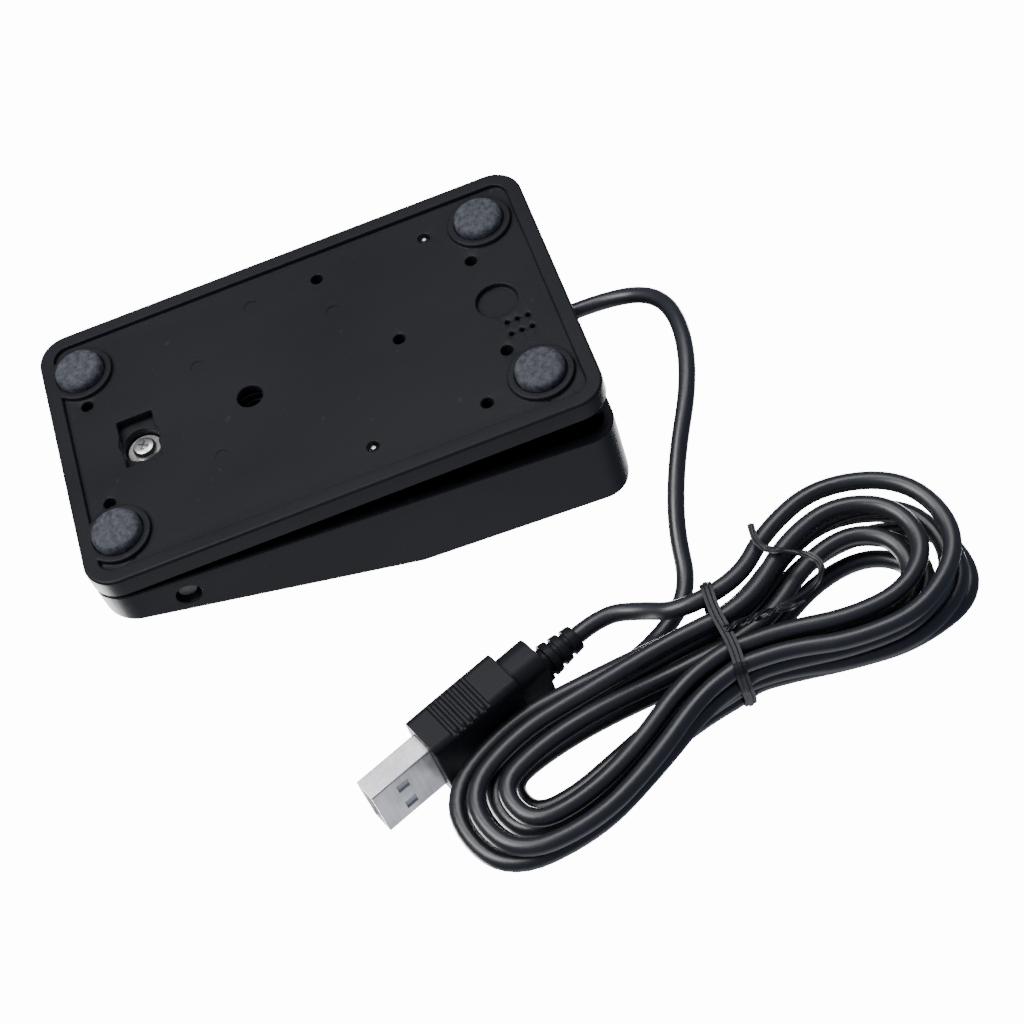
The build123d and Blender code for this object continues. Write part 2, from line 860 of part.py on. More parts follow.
keep(switch_carrier, "switch_carrier")

for side, (spot_x, spot_y) in zip(("left", "right"), (carrier_spots[0], carrier_spots[3])):
    self_tapping_screw(
        f"carrier_screw_{side}", spot_x, spot_y, z_carrier, z_recess + screw_tip_above,
        *screw_sizes,
    )

plunger_y = lever_pin_y + plunger_from_pin
with BuildPart() as switch_body:
    with BuildSketch(Plane.XY.offset(z_carrier)):
        with Locations((0, switch_middle)):
            RectangleRounded(switch_width, switch_length, clear)
    extrude(amount=switch_height)
    # ears that carry the lever's pin
    for side in (-1, 1):
        with BuildSketch(Plane.XY.offset(z_switch)):
            with Locations((side * (switch_width - lug_thickness) / 2, lever_pin_y)):
                Rectangle(lug_thickness, lug_length - 2 * close_fit)
        extrude(amount=lug_height)
    with BuildSketch(Plane.YZ.offset(-switch_width / 2 - overrun)):
        with Locations((lever_pin_y, z_lever_pin)):
            Circle(lever_pin / 2 + running_fit)
        with Locations(*[(y, z_switch_pin) for _, y in pin_spots]):
            Circle(switch_pin_diameter / 2 + running_fit)
    extrude(amount=switch_width + 2 * overrun, mode=Mode.SUBTRACT)
    with BuildSketch(Plane.XY.offset(z_switch + overrun)):
        with Locations((0, plunger_y)):
            Circle(plunger_diameter / 2 + running_fit)
    extrude(amount=-plunger_length - plunger_travel - overrun, mode=Mode.SUBTRACT)
keep(switch_body, "switch_body")

z_plunger = (
    z_lever_pin
    + plunger_from_pin * math.tan(lever_rest)
    - lever_thickness / 2 / math.cos(lever_rest)
    - plunger_gap
)
with BuildPart() as switch_plunger:
    with BuildSketch(Plane.XY.offset(z_plunger)):
        with Locations((0, plunger_y)):
            Circle(plunger_diameter / 2)
    extrude(amount=-plunger_length)
    fillet(switch_plunger.faces().sort_by(Axis.Z)[-1].edges(), plunger_diameter * dome_share)
keep(switch_plunger, "switch_plunger")

lever_plane = Plane(
    origin=(0, lever_pin_y, z_lever_pin),
    x_dir=(1, 0, 0),
    z_dir=(0, -math.sin(lever_rest), math.cos(lever_rest)),
)
with BuildPart() as switch_lever:
    with BuildSketch(lever_plane.offset(-lever_thickness / 2)):
        with Locations((0, lever_length / 2)):
            Rectangle(lever_width, lever_length)
    extrude(amount=lever_thickness)
    with BuildSketch(Plane.YZ.offset(-switch_width / 2)):
        with Locations((lever_pin_y, z_lever_pin)):
            Circle(lever_pin / 2)
    extrude(amount=switch_width)
keep(switch_lever, "switch_lever")

for name, terminal_y in terminal_spots:
    with BuildPart() as terminal:
        with BuildSketch(Plane.XY.offset(z_carrier)):
            with Locations((0, terminal_y)):
                Rectangle(terminal_width, terminal_thickness)
        extrude(amount=-terminal_length)
    keep(terminal, f"switch_terminal_{name}")

for name, pin_y in pin_spots:
    with BuildPart() as switch_pin:
        with BuildSketch(Plane.YZ.offset(-cheek_inner - cheek_thickness)):
            with Locations((pin_y, z_switch_pin)):
                Circle(switch_pin_diameter / 2)
        extrude(amount=2 * (cheek_inner + cheek_thickness))
    keep(switch_pin, f"switch_pin_{name}")

# Circuit board and what is soldered to it

board_back = carrier_front + clear
board_front = board_back + board_width
board_middle = (board_back + board_front) / 2
z_board_top = z_board + board_thickness
with BuildPart() as circuit_board:
    with BuildSketch(Plane.XY.offset(z_board)):
        with Locations((0, board_middle)):
            Rectangle(board_length, board_width)
        with Locations(*board_spots):
            Circle(screw_shank / 2 + close_fit, mode=Mode.SUBTRACT)
    extrude(amount=board_thickness)
keep(circuit_board, "circuit_board")

for side, (spot_x, spot_y) in zip(("left", "right"), board_spots):
    self_tapping_screw(
        f"board_screw_{side}", spot_x, spot_y, z_board_top, z_floor, *screw_sizes
    )

with BuildPart() as usb_chip:
    with BuildSketch(Plane.XY.offset(z_board_top)):
        with Locations((0, board_back + chip_width)):
            Rectangle(chip_length, chip_width)
    extrude(amount=chip_height)
    chamfer(usb_chip.faces().sort_by(Axis.Z)[-1].edges(), chip_height * edge_round_share)
keep(usb_chip, "usb_chip")

with BuildPart() as crystal:
    with BuildSketch(Plane.XY.offset(z_board_top)):
        with Locations((0, board_front - crystal_width / 2 - clear)):
            SlotOverall(crystal_length, crystal_width)
    extrude(amount=crystal_height)
    fillet(crystal.faces().sort_by(Axis.Z)[-1].edges(), crystal_height * edge_round_share)
keep(crystal, "crystal")

with BuildPart() as capacitor:
    with BuildSketch(Plane.XY.offset(z_board_top)):
        with Locations((-board_bore_side, board_front - capacitor_diameter / 2)):
            Circle(capacitor_diameter / 2)
    extrude(amount=capacitor_height)
    fillet(capacitor.faces().sort_by(Axis.Z)[-1].edges(), capacitor_diameter * edge_round_share / 2)
keep(capacitor, "capacitor")

with BuildPart() as solder_header:
    with BuildSketch(Plane.XY.offset(z_board_top)):
        with Locations((board_length / 2 - header_length / 2, board_front - header_width / 2)):
            Rectangle(header_length, header_width)
    extrude(amount=header_height)
keep(solder_header, "solder_header")


def lead(node, points, diameter):
    """Thin insulated lead of straight runs joined by tangent arcs."""
    places = [Vector(*point) for point in points]
    radii = []
    for before, corner, after in zip(places, places[1:], places[2:]):
        arriving = corner - before
        leaving = after - corner
        half = math.radians(arriving.get_angle(leaving)) / 2
        radii.append(corner_share * min(arriving.length, leaving.length) / math.tan(half))
    with BuildPart() as tube:
        with BuildLine() as path:
            FilletPolyline(*places, radius=radii)
        with BuildSketch(Plane(origin=path.line @ 0, z_dir=path.line % 0)):
            Circle(diameter / 2)
        sweep()
    keep(tube, node)
    return path.wires()[0], radii


z_lead = z_board - lead_drop
lead_y = board_back + lead_diameter * 3 / 2
open_face = terminal_spots[2][1] + terminal_thickness / 2
common_face = terminal_spots[0][1] + terminal_thickness / 2
lead(
    "switch_lead_open",
    [(lead_near, lead_y, z_board), (lead_near, lead_y, z_lead), (lead_near, open_face, z_lead)],
    lead_diameter,
)
lead(
    "switch_lead_common",
    [
        (lead_side, lead_y, z_board),
        (lead_side, lead_y, z_lead),
        (lead_side, common_face + 2 * terminal_width, z_lead),
        (lead_near, common_face + terminal_width, z_lead),
        (lead_near, common_face, z_lead),
    ],
    lead_diameter,
)

# Cord inside the tray, its clamp and its cores

jacket_end = toe_y - cord_jacket_inside
with BuildPart() as cord_inner:
    with BuildSketch(Plane.XZ.offset(-toe_y)):
        with Locations((cord_x, z_cord)):
            Circle(cord_radius)
    extrude(amount=cord_jacket_inside)
keep(cord_inner, "cord_inner")

for index, (across, up) in enumerate(((-1, -1), (1, -1), (-1, 1), (1, 1))):
    core_x = cord_x + across * core_spread
    core_z = z_cord + up * core_spread
    core_y = jacket_end - core_reach - (1 - up) * core_diameter
    lead(
        f"cord_core_{index + 1}",
        [(core_x, jacket_end, core_z), (core_x, core_y, core_z), (core_x, core_y, z_board)],
        core_diameter,
    )

with BuildPart() as cord_clamp:
    with BuildSketch(Plane.XY.offset(z_clamp)):
        with Locations((cord_x, clamp_y)):
            RectangleRounded(clamp_bar_length, clamp_bar_width, clamp_bar_width / 4)
        with Locations(*clamp_spots):
            Circle(clamp_screw_shank / 2 + running_fit, mode=Mode.SUBTRACT)
    extrude(amount=clamp_bar_thickness)
keep(cord_clamp, "cord_clamp")

for side, (spot_x, spot_y) in zip(("left", "right"), clamp_spots):
    self_tapping_screw(
        f"clamp_screw_{side}", spot_x, spot_y, z_clamp + clamp_bar_thickness,
        z_floor + overrun, clamp_screw_shank, clamp_screw_head, clamp_screw_head_height,
    )

# Hank: key places of one turn, as distance along the lobe, half width and heading


def turned(angle_deg):
    """Unit directions along and across a lobe turned from +Y toward +X."""
    angle = math.radians(angle_deg)
    return (
        Vector(math.sin(angle), math.cos(angle), 0),
        Vector(math.cos(angle), -math.sin(angle), 0),
    )


waist_dir, waist_across = turned(waist_turn_deg)
right_dir, right_across = turned(right_turn_deg)
left_dir, left_across = turned(left_turn_deg)
hank_keys = 10


def hank_key(count):
    """Place and heading of the hank's key number count, counted from its first end."""
    turns = count / hank_keys
    sweep_turns = hank_turns / hank_layers
    layer = min(int(turns / sweep_turns + tiny), hank_layers - 1)
    within = turns - layer * sweep_turns
    ring = sweep_turns - within if layer % 2 == 0 else within
    z = hank_lift + cord_radius + layer * hank_pitch
    waist_side = waist_inner + waist_step * ring
    waist_end = waist_half - waist_flare * ring
    waist_far_end = waist_half - waist_flare_out * ring
    right_side = right_half_inner + right_half_step * ring
    left_side = left_half_inner + left_half_step * ring
    right_at = right_widest + right_widest_step * ring
    left_at = left_widest + left_widest_step * ring
    kind = count % hank_keys
    table = {
        0: (waist_dir, waist_across, -waist_far_end, waist_side, waist_dir),
        1: (waist_dir, waist_across, waist_end, waist_side, waist_dir),
        2: (right_dir, right_across, right_at, right_side, right_dir),
        3: (right_dir, right_across, right_tip_inner + right_tip_step * ring, 0, -right_across),
        4: (right_dir, right_across, right_at, -right_side, -right_dir),
        5: (waist_dir, waist_across, waist_far_end, -waist_side, -waist_dir),
        6: (waist_dir, waist_across, -waist_end, -waist_side, -waist_dir),
        7: (left_dir, left_across, -left_at, -left_side, -left_dir),
        8: (left_dir, left_across, -left_tip_inner - left_tip_step * ring, 0, left_across),
        9: (left_dir, left_across, -left_at, left_side, left_dir),
    }
    along_dir, across_dir, along, across, heading = table[kind]
    place = Vector(hank_x, hank_y, z) + along_dir * along + across_dir * across
    return place, heading


hank_stops = [hank_key(count) for count in range(1, hank_turns * hank_keys)]
end_place = (
    Vector(hank_x, hank_y, hank_stops[-1][0].Z)
    - left_dir * hank_end_run
    + left_across * hank_end_half
)
hank_end_dir = left_dir
hank_stops.append((end_place, hank_end_dir))
with BuildPart() as cord_hank:
    with BuildLine() as hank_path:
        for (here, here_dir), (there, there_dir) in zip(hank_stops, hank_stops[1:]):
            biarc(here, here_dir, there, there_dir)
    with BuildSketch(Plane(origin=hank_stops[0][0], z_dir=hank_stops[0][1])):
        Circle(cord_radius)
    sweep()
keep(cord_hank, "cord_hank")


def least_gap(edges, diameter, step, own_length=4):
    """Least distance of a wound tube to itself, less its diameter, past its own nearest length."""
    spots = []
    travelled = 0.0
    for edge in edges:
        count = max(2, int(edge.length / step))
        for index in range(count):
            spots.append((travelled + edge.length * index / count, edge @ (index / count)))
        travelled += edge.length
    least = math.inf
    places = [(s, p.X, p.Y, p.Z) for s, p in spots]
    for first, (s1, x1, y1, z1) in enumerate(places):
        for s2, x2, y2, z2 in places[first + 1:]:
            if s2 - s1 > own_length * diameter:
                near = (x1 - x2) ** 2 + (y1 - y2) ** 2 + (z1 - z2) ** 2
                least = min(least, near)
    return math.sqrt(least) - diameter, travelled


hank_gap, hank_length = least_gap(hank_path.edges(), cord_diameter, cord_diameter / 3)
spring_gap, spring_length = least_gap(spring_path.edges(), spring_wire, spring_wire / 2)
print("hank least gap", round(hank_gap, 3), "length", round(hank_length, 1))
print("spring least gap", round(spring_gap, 3), "length", round(spring_length, 1))

# Free stretches of the cord

plug_turn = math.radians(plug_turn_deg)
plug_dir = Vector(-math.sin(plug_turn), -math.cos(plug_turn), 0)
plug_back = Vector(plug_x, plug_y, overmold_width / 2 + close_fit)
plug_lead_start = plug_back - plug_dir * relief_length * relief_seat_share
hank_start, hank_start_dir = hank_stops[0]
straight_out = 3 * cord_diameter
exit_points = [(x, y + cord_shift, z) for x, y, z in exit_route] + [
    tuple(end_place + hank_end_dir * straight_out),
    tuple(end_place),
]
plug_points = [
    tuple(plug_back),
    tuple(plug_lead_start),
    *[(x, y + cord_shift, z) for x, y, z in plug_route_middle],
    tuple(hank_start - hank_start_dir * straight_out),
    tuple(hank_start),
]
for node, points in (("cord_exit_run", exit_points), ("cord_plug_run", plug_points)):
    line, radii = lead(node, points, cord_diameter)
    print(node, "length", round(line.length, 1), "radii", [round(r, 1) for r in radii])

# Twist tie round the waist

z_hank_high = hank_lift + cord_diameter + (hank_layers - 1) * hank_pitch
waist_out = waist_inner + waist_step * hank_turns / hank_layers + cord_radius
tie_bottom = hank_lift - tie_gap
tie_top = z_hank_high + tie_gap
tie_plane = Plane(
    origin=Vector(hank_x, hank_y, (tie_bottom + tie_top) / 2) - waist_dir * tie_width / 2,
    x_dir=waist_across,
    z_dir=waist_dir,
)
tie_inner_width = 2 * (waist_out + tie_gap)
tie_inner_height = tie_top - tie_bottom
twist_start = Vector(hank_x, hank_y, twist_diameter / 2 + close_fit / 2)
twist_end = twist_start + waist_dir * (twist_length + tie_width / 2)
tail_dir = turned(waist_turn_deg + tail_turn_deg)[0]
tail_corner = twist_end + waist_dir * tail_run
tail_tip = tail_corner + tail_dir * tail_reach
with BuildPart() as twist_tie:
    with BuildSketch(tie_plane):
        RectangleRounded(
            tie_inner_width + 2 * tie_thickness, tie_inner_height + 2 * tie_thickness,
            tie_corner + tie_thickness,
        )
        RectangleRounded(tie_inner_width, tie_inner_height, tie_corner, mode=Mode.SUBTRACT)
    extrude(amount=tie_width)
    with BuildSketch(Plane(origin=twist_start, z_dir=waist_dir)):
        Circle(twist_diameter / 2)
    extrude(amount=twist_length + tie_width / 2)
    with BuildSketch(Plane.XY.offset(close_fit)) as tail:
        with BuildLine() as tail_line:
            Polyline(
                *[
                    (corner.X, corner.Y)
                    for corner in (twist_end - waist_dir * tie_width, tail_corner, tail_tip)
                ],
            )
        trace(line_width=tie_width)
    extrude(amount=tie_thickness)
keep(twist_tie, "twist_tie")

# Plug

plug_plane = Plane(origin=plug_back, x_dir=(0, 0, 1), z_dir=plug_dir)
z_neck = relief_length
z_grip = z_neck + neck_length
z_shell = z_grip + grip_length
relief_slope = (relief_root - relief_end) / 2 / relief_length
ring_pitch = relief_length / (relief_rings + 1 / 2)
with BuildPart() as plug_relief:
    with BuildSketch(plug_plane):
        Circle(relief_end / 2)
    with BuildSketch(plug_plane.offset(relief_length)):
        Circle(relief_root / 2)
    loft()
    for index in range(relief_rings):
        groove_at = ring_pitch * (index + 1) - relief_groove
        outer = relief_end / 2 + relief_slope * groove_at
        with BuildSketch(plug_plane.offset(groove_at)):
            Circle(outer + overrun)
            Circle(outer - relief_groove, mode=Mode.SUBTRACT)
        extrude(amount=ring_pitch * ring_groove_share, mode=Mode.SUBTRACT)
keep(plug_relief, "plug_relief")

with BuildPart() as plug_overmold:
    with BuildSketch(plug_plane.offset(z_neck)):
        RectangleRounded(neck_width, neck_thickness, grip_round * 2)
    extrude(amount=neck_length)
    with BuildSketch(plug_plane.offset(z_grip)):
        RectangleRounded(overmold_width, overmold_thickness, grip_round)
    extrude(amount=grip_length)
    for side in (-1, 1):
        for index in range(grip_rib_count):
            rib_at = z_grip + grip_rib_start + index * grip_rib_pitch
            with BuildSketch(plug_plane.offset(rib_at)):
                with Locations((side * overmold_width / 2, 0)):
                    Rectangle(2 * grip_rib_depth, overmold_thickness)
            extrude(amount=grip_rib_width, mode=Mode.SUBTRACT)
keep(plug_overmold, "plug_overmold")

z_tip = z_shell + shell_length
with BuildPart() as plug_shell:
    with BuildSketch(plug_plane.offset(z_shell)):
        RectangleRounded(shell_width, shell_thickness, shell_sheet)
        RectangleRounded(
            shell_width - 2 * shell_sheet, shell_thickness - 2 * shell_sheet, shell_sheet / 2,
            mode=Mode.SUBTRACT,
        )
    extrude(amount=shell_length)
    window_plane = Plane(
        origin=plug_back + plug_dir * (z_tip - shell_window_from_tip)
        - plug_plane.y_dir * shell_thickness,
        x_dir=(0, 0, 1),
        z_dir=plug_plane.y_dir,
    )
    with BuildSketch(window_plane):
        with Locations((-shell_window_pitch / 2, 0), (shell_window_pitch / 2, 0)):
            Rectangle(shell_window, shell_window)
    extrude(amount=2 * shell_thickness, mode=Mode.SUBTRACT)
keep(plug_shell, "plug_shell")

tongue_side = shell_thickness / 2 - shell_sheet - tongue_thickness / 2 - running_fit
contact_side = tongue_side - tongue_thickness / 2 - contact_thickness / 2
with BuildPart() as plug_tongue:
    with BuildSketch(plug_plane.offset(z_shell)):
        with Locations((0, tongue_side)):
            Rectangle(tongue_width, tongue_thickness)
    extrude(amount=tongue_length)
keep(plug_tongue, "plug_tongue")

for index in range(contact_count):
    contact_at = (index - (contact_count - 1) / 2) * contact_pitch
    with BuildPart() as contact:
        with BuildSketch(plug_plane.offset(z_shell + tongue_length - contact_length - overrun)):
            with Locations((contact_at, contact_side)):
                Rectangle(contact_width, contact_thickness)
        extrude(amount=contact_length)
    keep(contact, f"plug_contact_{index + 1}")

print("hinge", hinge_y, z_hinge, "lever pin", lever_pin_y, round(z_lever_pin, 3))
print("spring base", z_floor, "rim at toe", round(rim_toe, 2), "stop", round(z_stop, 2))
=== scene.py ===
import json
import math

import bmesh
import bpy
from bpy.props import FloatProperty, FloatVectorProperty, IntProperty, PointerProperty
from mathutils import Matrix, Vector, noise


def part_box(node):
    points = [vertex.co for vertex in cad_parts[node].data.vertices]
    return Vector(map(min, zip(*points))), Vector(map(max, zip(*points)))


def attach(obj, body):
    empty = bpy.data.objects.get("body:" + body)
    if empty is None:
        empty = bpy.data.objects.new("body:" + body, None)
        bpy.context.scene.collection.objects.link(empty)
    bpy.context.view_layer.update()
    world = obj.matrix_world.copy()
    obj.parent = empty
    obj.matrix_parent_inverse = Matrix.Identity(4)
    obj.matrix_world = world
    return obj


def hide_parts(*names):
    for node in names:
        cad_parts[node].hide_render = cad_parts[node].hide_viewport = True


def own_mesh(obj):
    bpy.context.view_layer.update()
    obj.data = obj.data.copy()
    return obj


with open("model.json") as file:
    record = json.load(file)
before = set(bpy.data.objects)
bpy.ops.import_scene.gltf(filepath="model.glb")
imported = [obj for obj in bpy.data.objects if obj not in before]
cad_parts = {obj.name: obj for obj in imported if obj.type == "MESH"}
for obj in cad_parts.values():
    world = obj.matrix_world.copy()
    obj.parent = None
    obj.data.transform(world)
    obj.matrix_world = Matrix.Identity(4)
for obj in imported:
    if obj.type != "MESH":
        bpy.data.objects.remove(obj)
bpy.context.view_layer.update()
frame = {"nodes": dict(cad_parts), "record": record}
nodes = frame["nodes"]

bl_info = {
    "name": "Foot pedal switch",
    "version": (1, 0, 0),
    "blender": (4, 5, 0),
    "location": "View3D > Sidebar > Foot pedal",
    "description": "Dresses the packed foot pedal switch with finished pieces and a studio",
    "category": "Object",
}

MM = 0.001
SAME_POINT, TINY = 1e-7, 1e-9
BLOCK_EDGE, CASE_EDGE, RELIEF_EDGE = 0.2 * MM, 0.12 * MM, 0.14 * MM


class PedalSizes(bpy.types.PropertyGroup):
    """Sizes of the details that the dressed pieces add."""

    tray_edge: FloatProperty(
        name="Tray edge", description="Round of the tray's moulded edges",
        default=0.28 * MM, unit="LENGTH")
    pedal_edge: FloatProperty(
        name="Pedal edge", description="Round of the pedal's moulded edges",
        default=0.3 * MM, unit="LENGTH")
    plug_edge: FloatProperty(
        name="Plug edge", description="Round of the plug's moulded edges",
        default=0.22 * MM, unit="LENGTH")
    sheet_edge: FloatProperty(
        name="Sheet edge", description="Round of the plug shell's folded sheet",
        default=0.09 * MM, unit="LENGTH")
    foot_crown: FloatProperty(
        name="Foot crown", description="How far a rubber foot's middle stands proud of its edge",
        default=0.12 * MM, unit="LENGTH")
    thread_pitch: FloatProperty(
        name="Thread pitch", description="Rise of one turn of a screw's thread",
        default=0.7 * MM, unit="LENGTH")
    thread_depth: FloatProperty(
        name="Thread depth", description="Height of a screw's thread over its core",
        default=0.22 * MM, unit="LENGTH")
    ribbon_wire: FloatProperty(
        name="Ribbon wire", description="Diameter of the wire inside the twist tie",
        default=0.75 * MM, unit="LENGTH")
    ribbon_edge: FloatProperty(
        name="Ribbon edge", description="Thickness of the twist tie's flat wings",
        default=0.3 * MM, unit="LENGTH")


class PedalColours(bpy.types.PropertyGroup):
    """Base colours of the finishes."""

    plastic: FloatVectorProperty(
        name="Plastic", description="Black moulded plastic of the tray and pedal",
        default=(0.0096, 0.0102, 0.0122), subtype="COLOR")
    rubber: FloatVectorProperty(
        name="Rubber", description="Grey rubber of the feet",
        default=(0.056, 0.059, 0.070), subtype="COLOR")
    jacket: FloatVectorProperty(
        name="Jacket", description="Black jacket of the cord",
        default=(0.0085, 0.0090, 0.0115), subtype="COLOR")
    nickel: FloatVectorProperty(
        name="Nickel", description="Plated sheet of the plug",
        default=(0.66, 0.65, 0.66), subtype="COLOR")
    steel: FloatVectorProperty(
        name="Steel", description="Bright plated screws",
        default=(0.74, 0.73, 0.70), subtype="COLOR")
    spring: FloatVectorProperty(
        name="Spring", description="Spring wire and pins",
        default=(0.42, 0.41, 0.40), subtype="COLOR")
    brass: FloatVectorProperty(
        name="Brass", description="Plated contacts and terminals",
        default=(0.80, 0.58, 0.26), subtype="COLOR")
    board: FloatVectorProperty(
        name="Board", description="Coated laminate of the circuit board",
        default=(0.012, 0.075, 0.030), subtype="COLOR")
    tongue: FloatVectorProperty(
        name="Tongue", description="Insulating tongue inside the plug",
        default=(0.78, 0.78, 0.76), subtype="COLOR")


class StudioSettings(bpy.types.PropertyGroup):
    """Camera and light of the studio."""

    lens: FloatProperty(
        name="Lens", description="Focal length on a 36 mm sensor, in millimetres", default=73.51)
    room: FloatProperty(
        name="Room", description="Brightness of the room on the object", default=0.20)
    room_tone: FloatVectorProperty(
        name="Room tone", description="Cool tone of the room on the object",
        default=(0.80, 0.92, 1.28), subtype="COLOR")
    backdrop: FloatProperty(
        name="Backdrop", description="Brightness of the plain white backdrop", default=14.0)
    key: FloatProperty(
        name="Key", description="Strength of the main soft lamp", default=5.0, unit="POWER")
    fill: FloatProperty(
        name="Fill", description="Strength of the soft lamp over the picture",
        default=2.0, unit="POWER")
    side: FloatProperty(
        name="Side", description="Strength of the wide lamp that the pedal's side reflects",
        default=1.8, unit="POWER")
    top: FloatProperty(
        name="Top", description="Strength of the soft lamps over the tread",
        default=13.0, unit="POWER")
    floor_tone: FloatVectorProperty(
        name="Floor", description="Colour of the floor seen from above",
        default=(0.80, 0.80, 0.80), subtype="COLOR")
    floor_glow: FloatProperty(
        name="Floor glow", description="Own brightness of the floor near the object", default=0.7)


class CordShape(bpy.types.PropertyGroup):
    """Sizes of the cord and of the hank it is folded into."""

    diameter: FloatProperty(
        name="Diameter", description="Outer diameter of the jacket",
        default=3.1 * MM, unit="LENGTH")
    turns: IntProperty(name="Turns", description="Turns in the hank", default=8)
    layers: IntProperty(name="Layers", description="Layers that the turns lie in", default=4)
    lift: FloatProperty(
        name="Lift", description="Height of the hank over the floor",
        default=1.9 * MM, unit="LENGTH")
    pitch: FloatProperty(
        name="Layer pitch", description="Height from one layer to the next",
        default=3.45 * MM, unit="LENGTH")
    lean: FloatProperty(
        name="Layer lean", description="How far each layer lies beside the one below",
        default=0.5 * MM, unit="LENGTH")
    stagger: FloatProperty(
        name="Layer stagger", description="How far the outer two layers lie aside of the inner two",
        default=0.3 * MM, unit="LENGTH")
    fan: FloatProperty(
        name="Lobe fan", description="Turn from one layer's lobe to the next, in degrees",
        default=3.0)
    taper: FloatProperty(
        name="Lobe taper", description="Lean of a lobe's strands toward the waist, in degrees",
        default=11.0)


# Nodes of a material


def add_node(tree, kind, inputs=(), **settings):
    """Adds one shader node, sets its settings and links or fills its inputs."""
    node = tree.nodes.new(kind)
    for name, value in settings.items():
        setattr(node, name, value)
    for name, value in dict(inputs).items():
        if isinstance(value, bpy.types.NodeSocket):
            tree.links.new(value, node.inputs[name])
        else:
            node.inputs[name].default_value = value
    return node


def start_finish(name, colour, roughness, metallic=0.0):
    """A new material with its plain numbers set on the shader."""
    material = bpy.data.materials.new(name)
    material.use_nodes = True
    tree = material.node_tree
    shader = tree.nodes["Principled BSDF"]
    shader.inputs["Base Color"].default_value = (*colour, 1.0)
    shader.inputs["Roughness"].default_value = roughness
    shader.inputs["Metallic"].default_value = metallic
    return material, tree, shader


def object_noise(tree, scale, detail=2.0, stretch=(1, 1, 1), turn=(0, 0, 0), roughness=0.5):
    """Noise in the piece's own metres; scale is in waves per metre."""
    place = add_node(tree, "ShaderNodeTexCoord")
    mapped = add_node(
        tree, "ShaderNodeMapping",
        {"Vector": place.outputs["Object"], "Scale": stretch, "Rotation": turn})
    return add_node(
        tree, "ShaderNodeTexNoise",
        {"Vector": mapped.outputs["Vector"], "Scale": scale, "Detail": detail,
         "Roughness": roughness}).outputs["Fac"]


def spread(tree, value, low, high, from_low=0.3, from_high=0.7):
    """Maps a pattern's usual range to low and high."""
    return add_node(
        tree, "ShaderNodeMapRange",
        {"Value": value, "From Min": from_low, "From Max": from_high,
         "To Min": low, "To Max": high}).outputs["Result"]


def tint(tree, shader, colour, factor, other):
    """Mixes a second colour into the base colour by a pattern."""
    mixed = add_node(tree, "ShaderNodeMix", data_type="RGBA")
    tree.links.new(factor, mixed.inputs["Factor"])
    for socket in mixed.inputs:
        if socket.type == "RGBA":
            socket.default_value = (*(colour if socket.name == "A" else other), 1.0)
    result = [socket for socket in mixed.outputs if socket.type == "RGBA"][0]
    tree.links.new(result, shader.inputs["Base Color"])


def combine(tree, operation, first, second):
    """Joins two patterns by a math operation."""
    return add_node(
        tree, "ShaderNodeMath", {0: first, 1: second}, operation=operation).outputs[0]


def relief(tree, shader, height, distance):
    """Raises a pattern as bump of that many metres."""
    bump = add_node(
        tree, "ShaderNodeBump", {"Height": height, "Distance": distance, "Strength": 1.0})
    tree.links.new(bump.outputs["Normal"], shader.inputs["Normal"])


def lighter(colour, by):
    """The same colour, brighter or darker by a factor."""
    return tuple(channel * by for channel in colour)


def moulded_plastic(name, colour, roughness, grain=2600.0, scuffs=False):
    """Satin moulded plastic: fine spark grain, faint flow clouds and a few hair scratches."""
    material, tree, shader = start_finish(name, colour, roughness)
    shader.inputs["Specular IOR Level"].default_value = 0.2
    clouds = object_noise(tree, scale=42.0, detail=3.0, stretch=(1.0, 0.55, 1.0))
    glossiest, dullest = roughness - 0.05, roughness + 0.07
    tree.links.new(spread(tree, clouds, glossiest, dullest), shader.inputs["Roughness"])
    if scuffs:
        hairs = object_noise(
            tree, scale=150.0, detail=1.0, stretch=(1.0, 0.035, 0.2), turn=(0, 0, 0.42))
        dust = object_noise(tree, scale=480.0)
        scratches = spread(tree, hairs, 0.0, 1.0, from_low=0.745, from_high=0.765)
        patches = spread(tree, dust, 0.0, 0.3, from_low=0.5, from_high=0.62)
        specks = spread(tree, dust, 0.0, 0.12, from_low=0.725, from_high=0.76)
        haze = spread(tree, clouds, 0.0, 0.05)
        marks = combine(tree, "MAXIMUM", combine(tree, "MULTIPLY", scratches, patches), specks)
        tint(tree, shader, colour, combine(tree, "ADD", marks, haze), lighter(colour, by=9.0))
    else:
        tint(tree, shader, colour, spread(tree, clouds, 0.0, 1.0), lighter(colour, by=1.25))
    relief(tree, shader, object_noise(tree, scale=grain), distance=0.012 * MM)
    return material


def foot_rubber(colour):
    """Grey rubber, mottled with lighter crumbs and slightly rough."""
    material, tree, shader = start_finish("foot_rubber", colour, roughness=0.72)
    mottle = object_noise(tree, scale=900.0, detail=4.0, roughness=0.65)
    crumbs = spread(tree, mottle, 0.0, 1.0, from_low=0.38, from_high=0.64)
    tint(tree, shader, lighter(colour, by=0.5), crumbs, lighter(colour, by=1.6))
    relief(tree, shader, object_noise(tree, scale=1700.0, detail=3.0), distance=0.06 * MM)
    tree.links.new(spread(tree, mottle, 0.62, 0.85), shader.inputs["Roughness"])
    return material


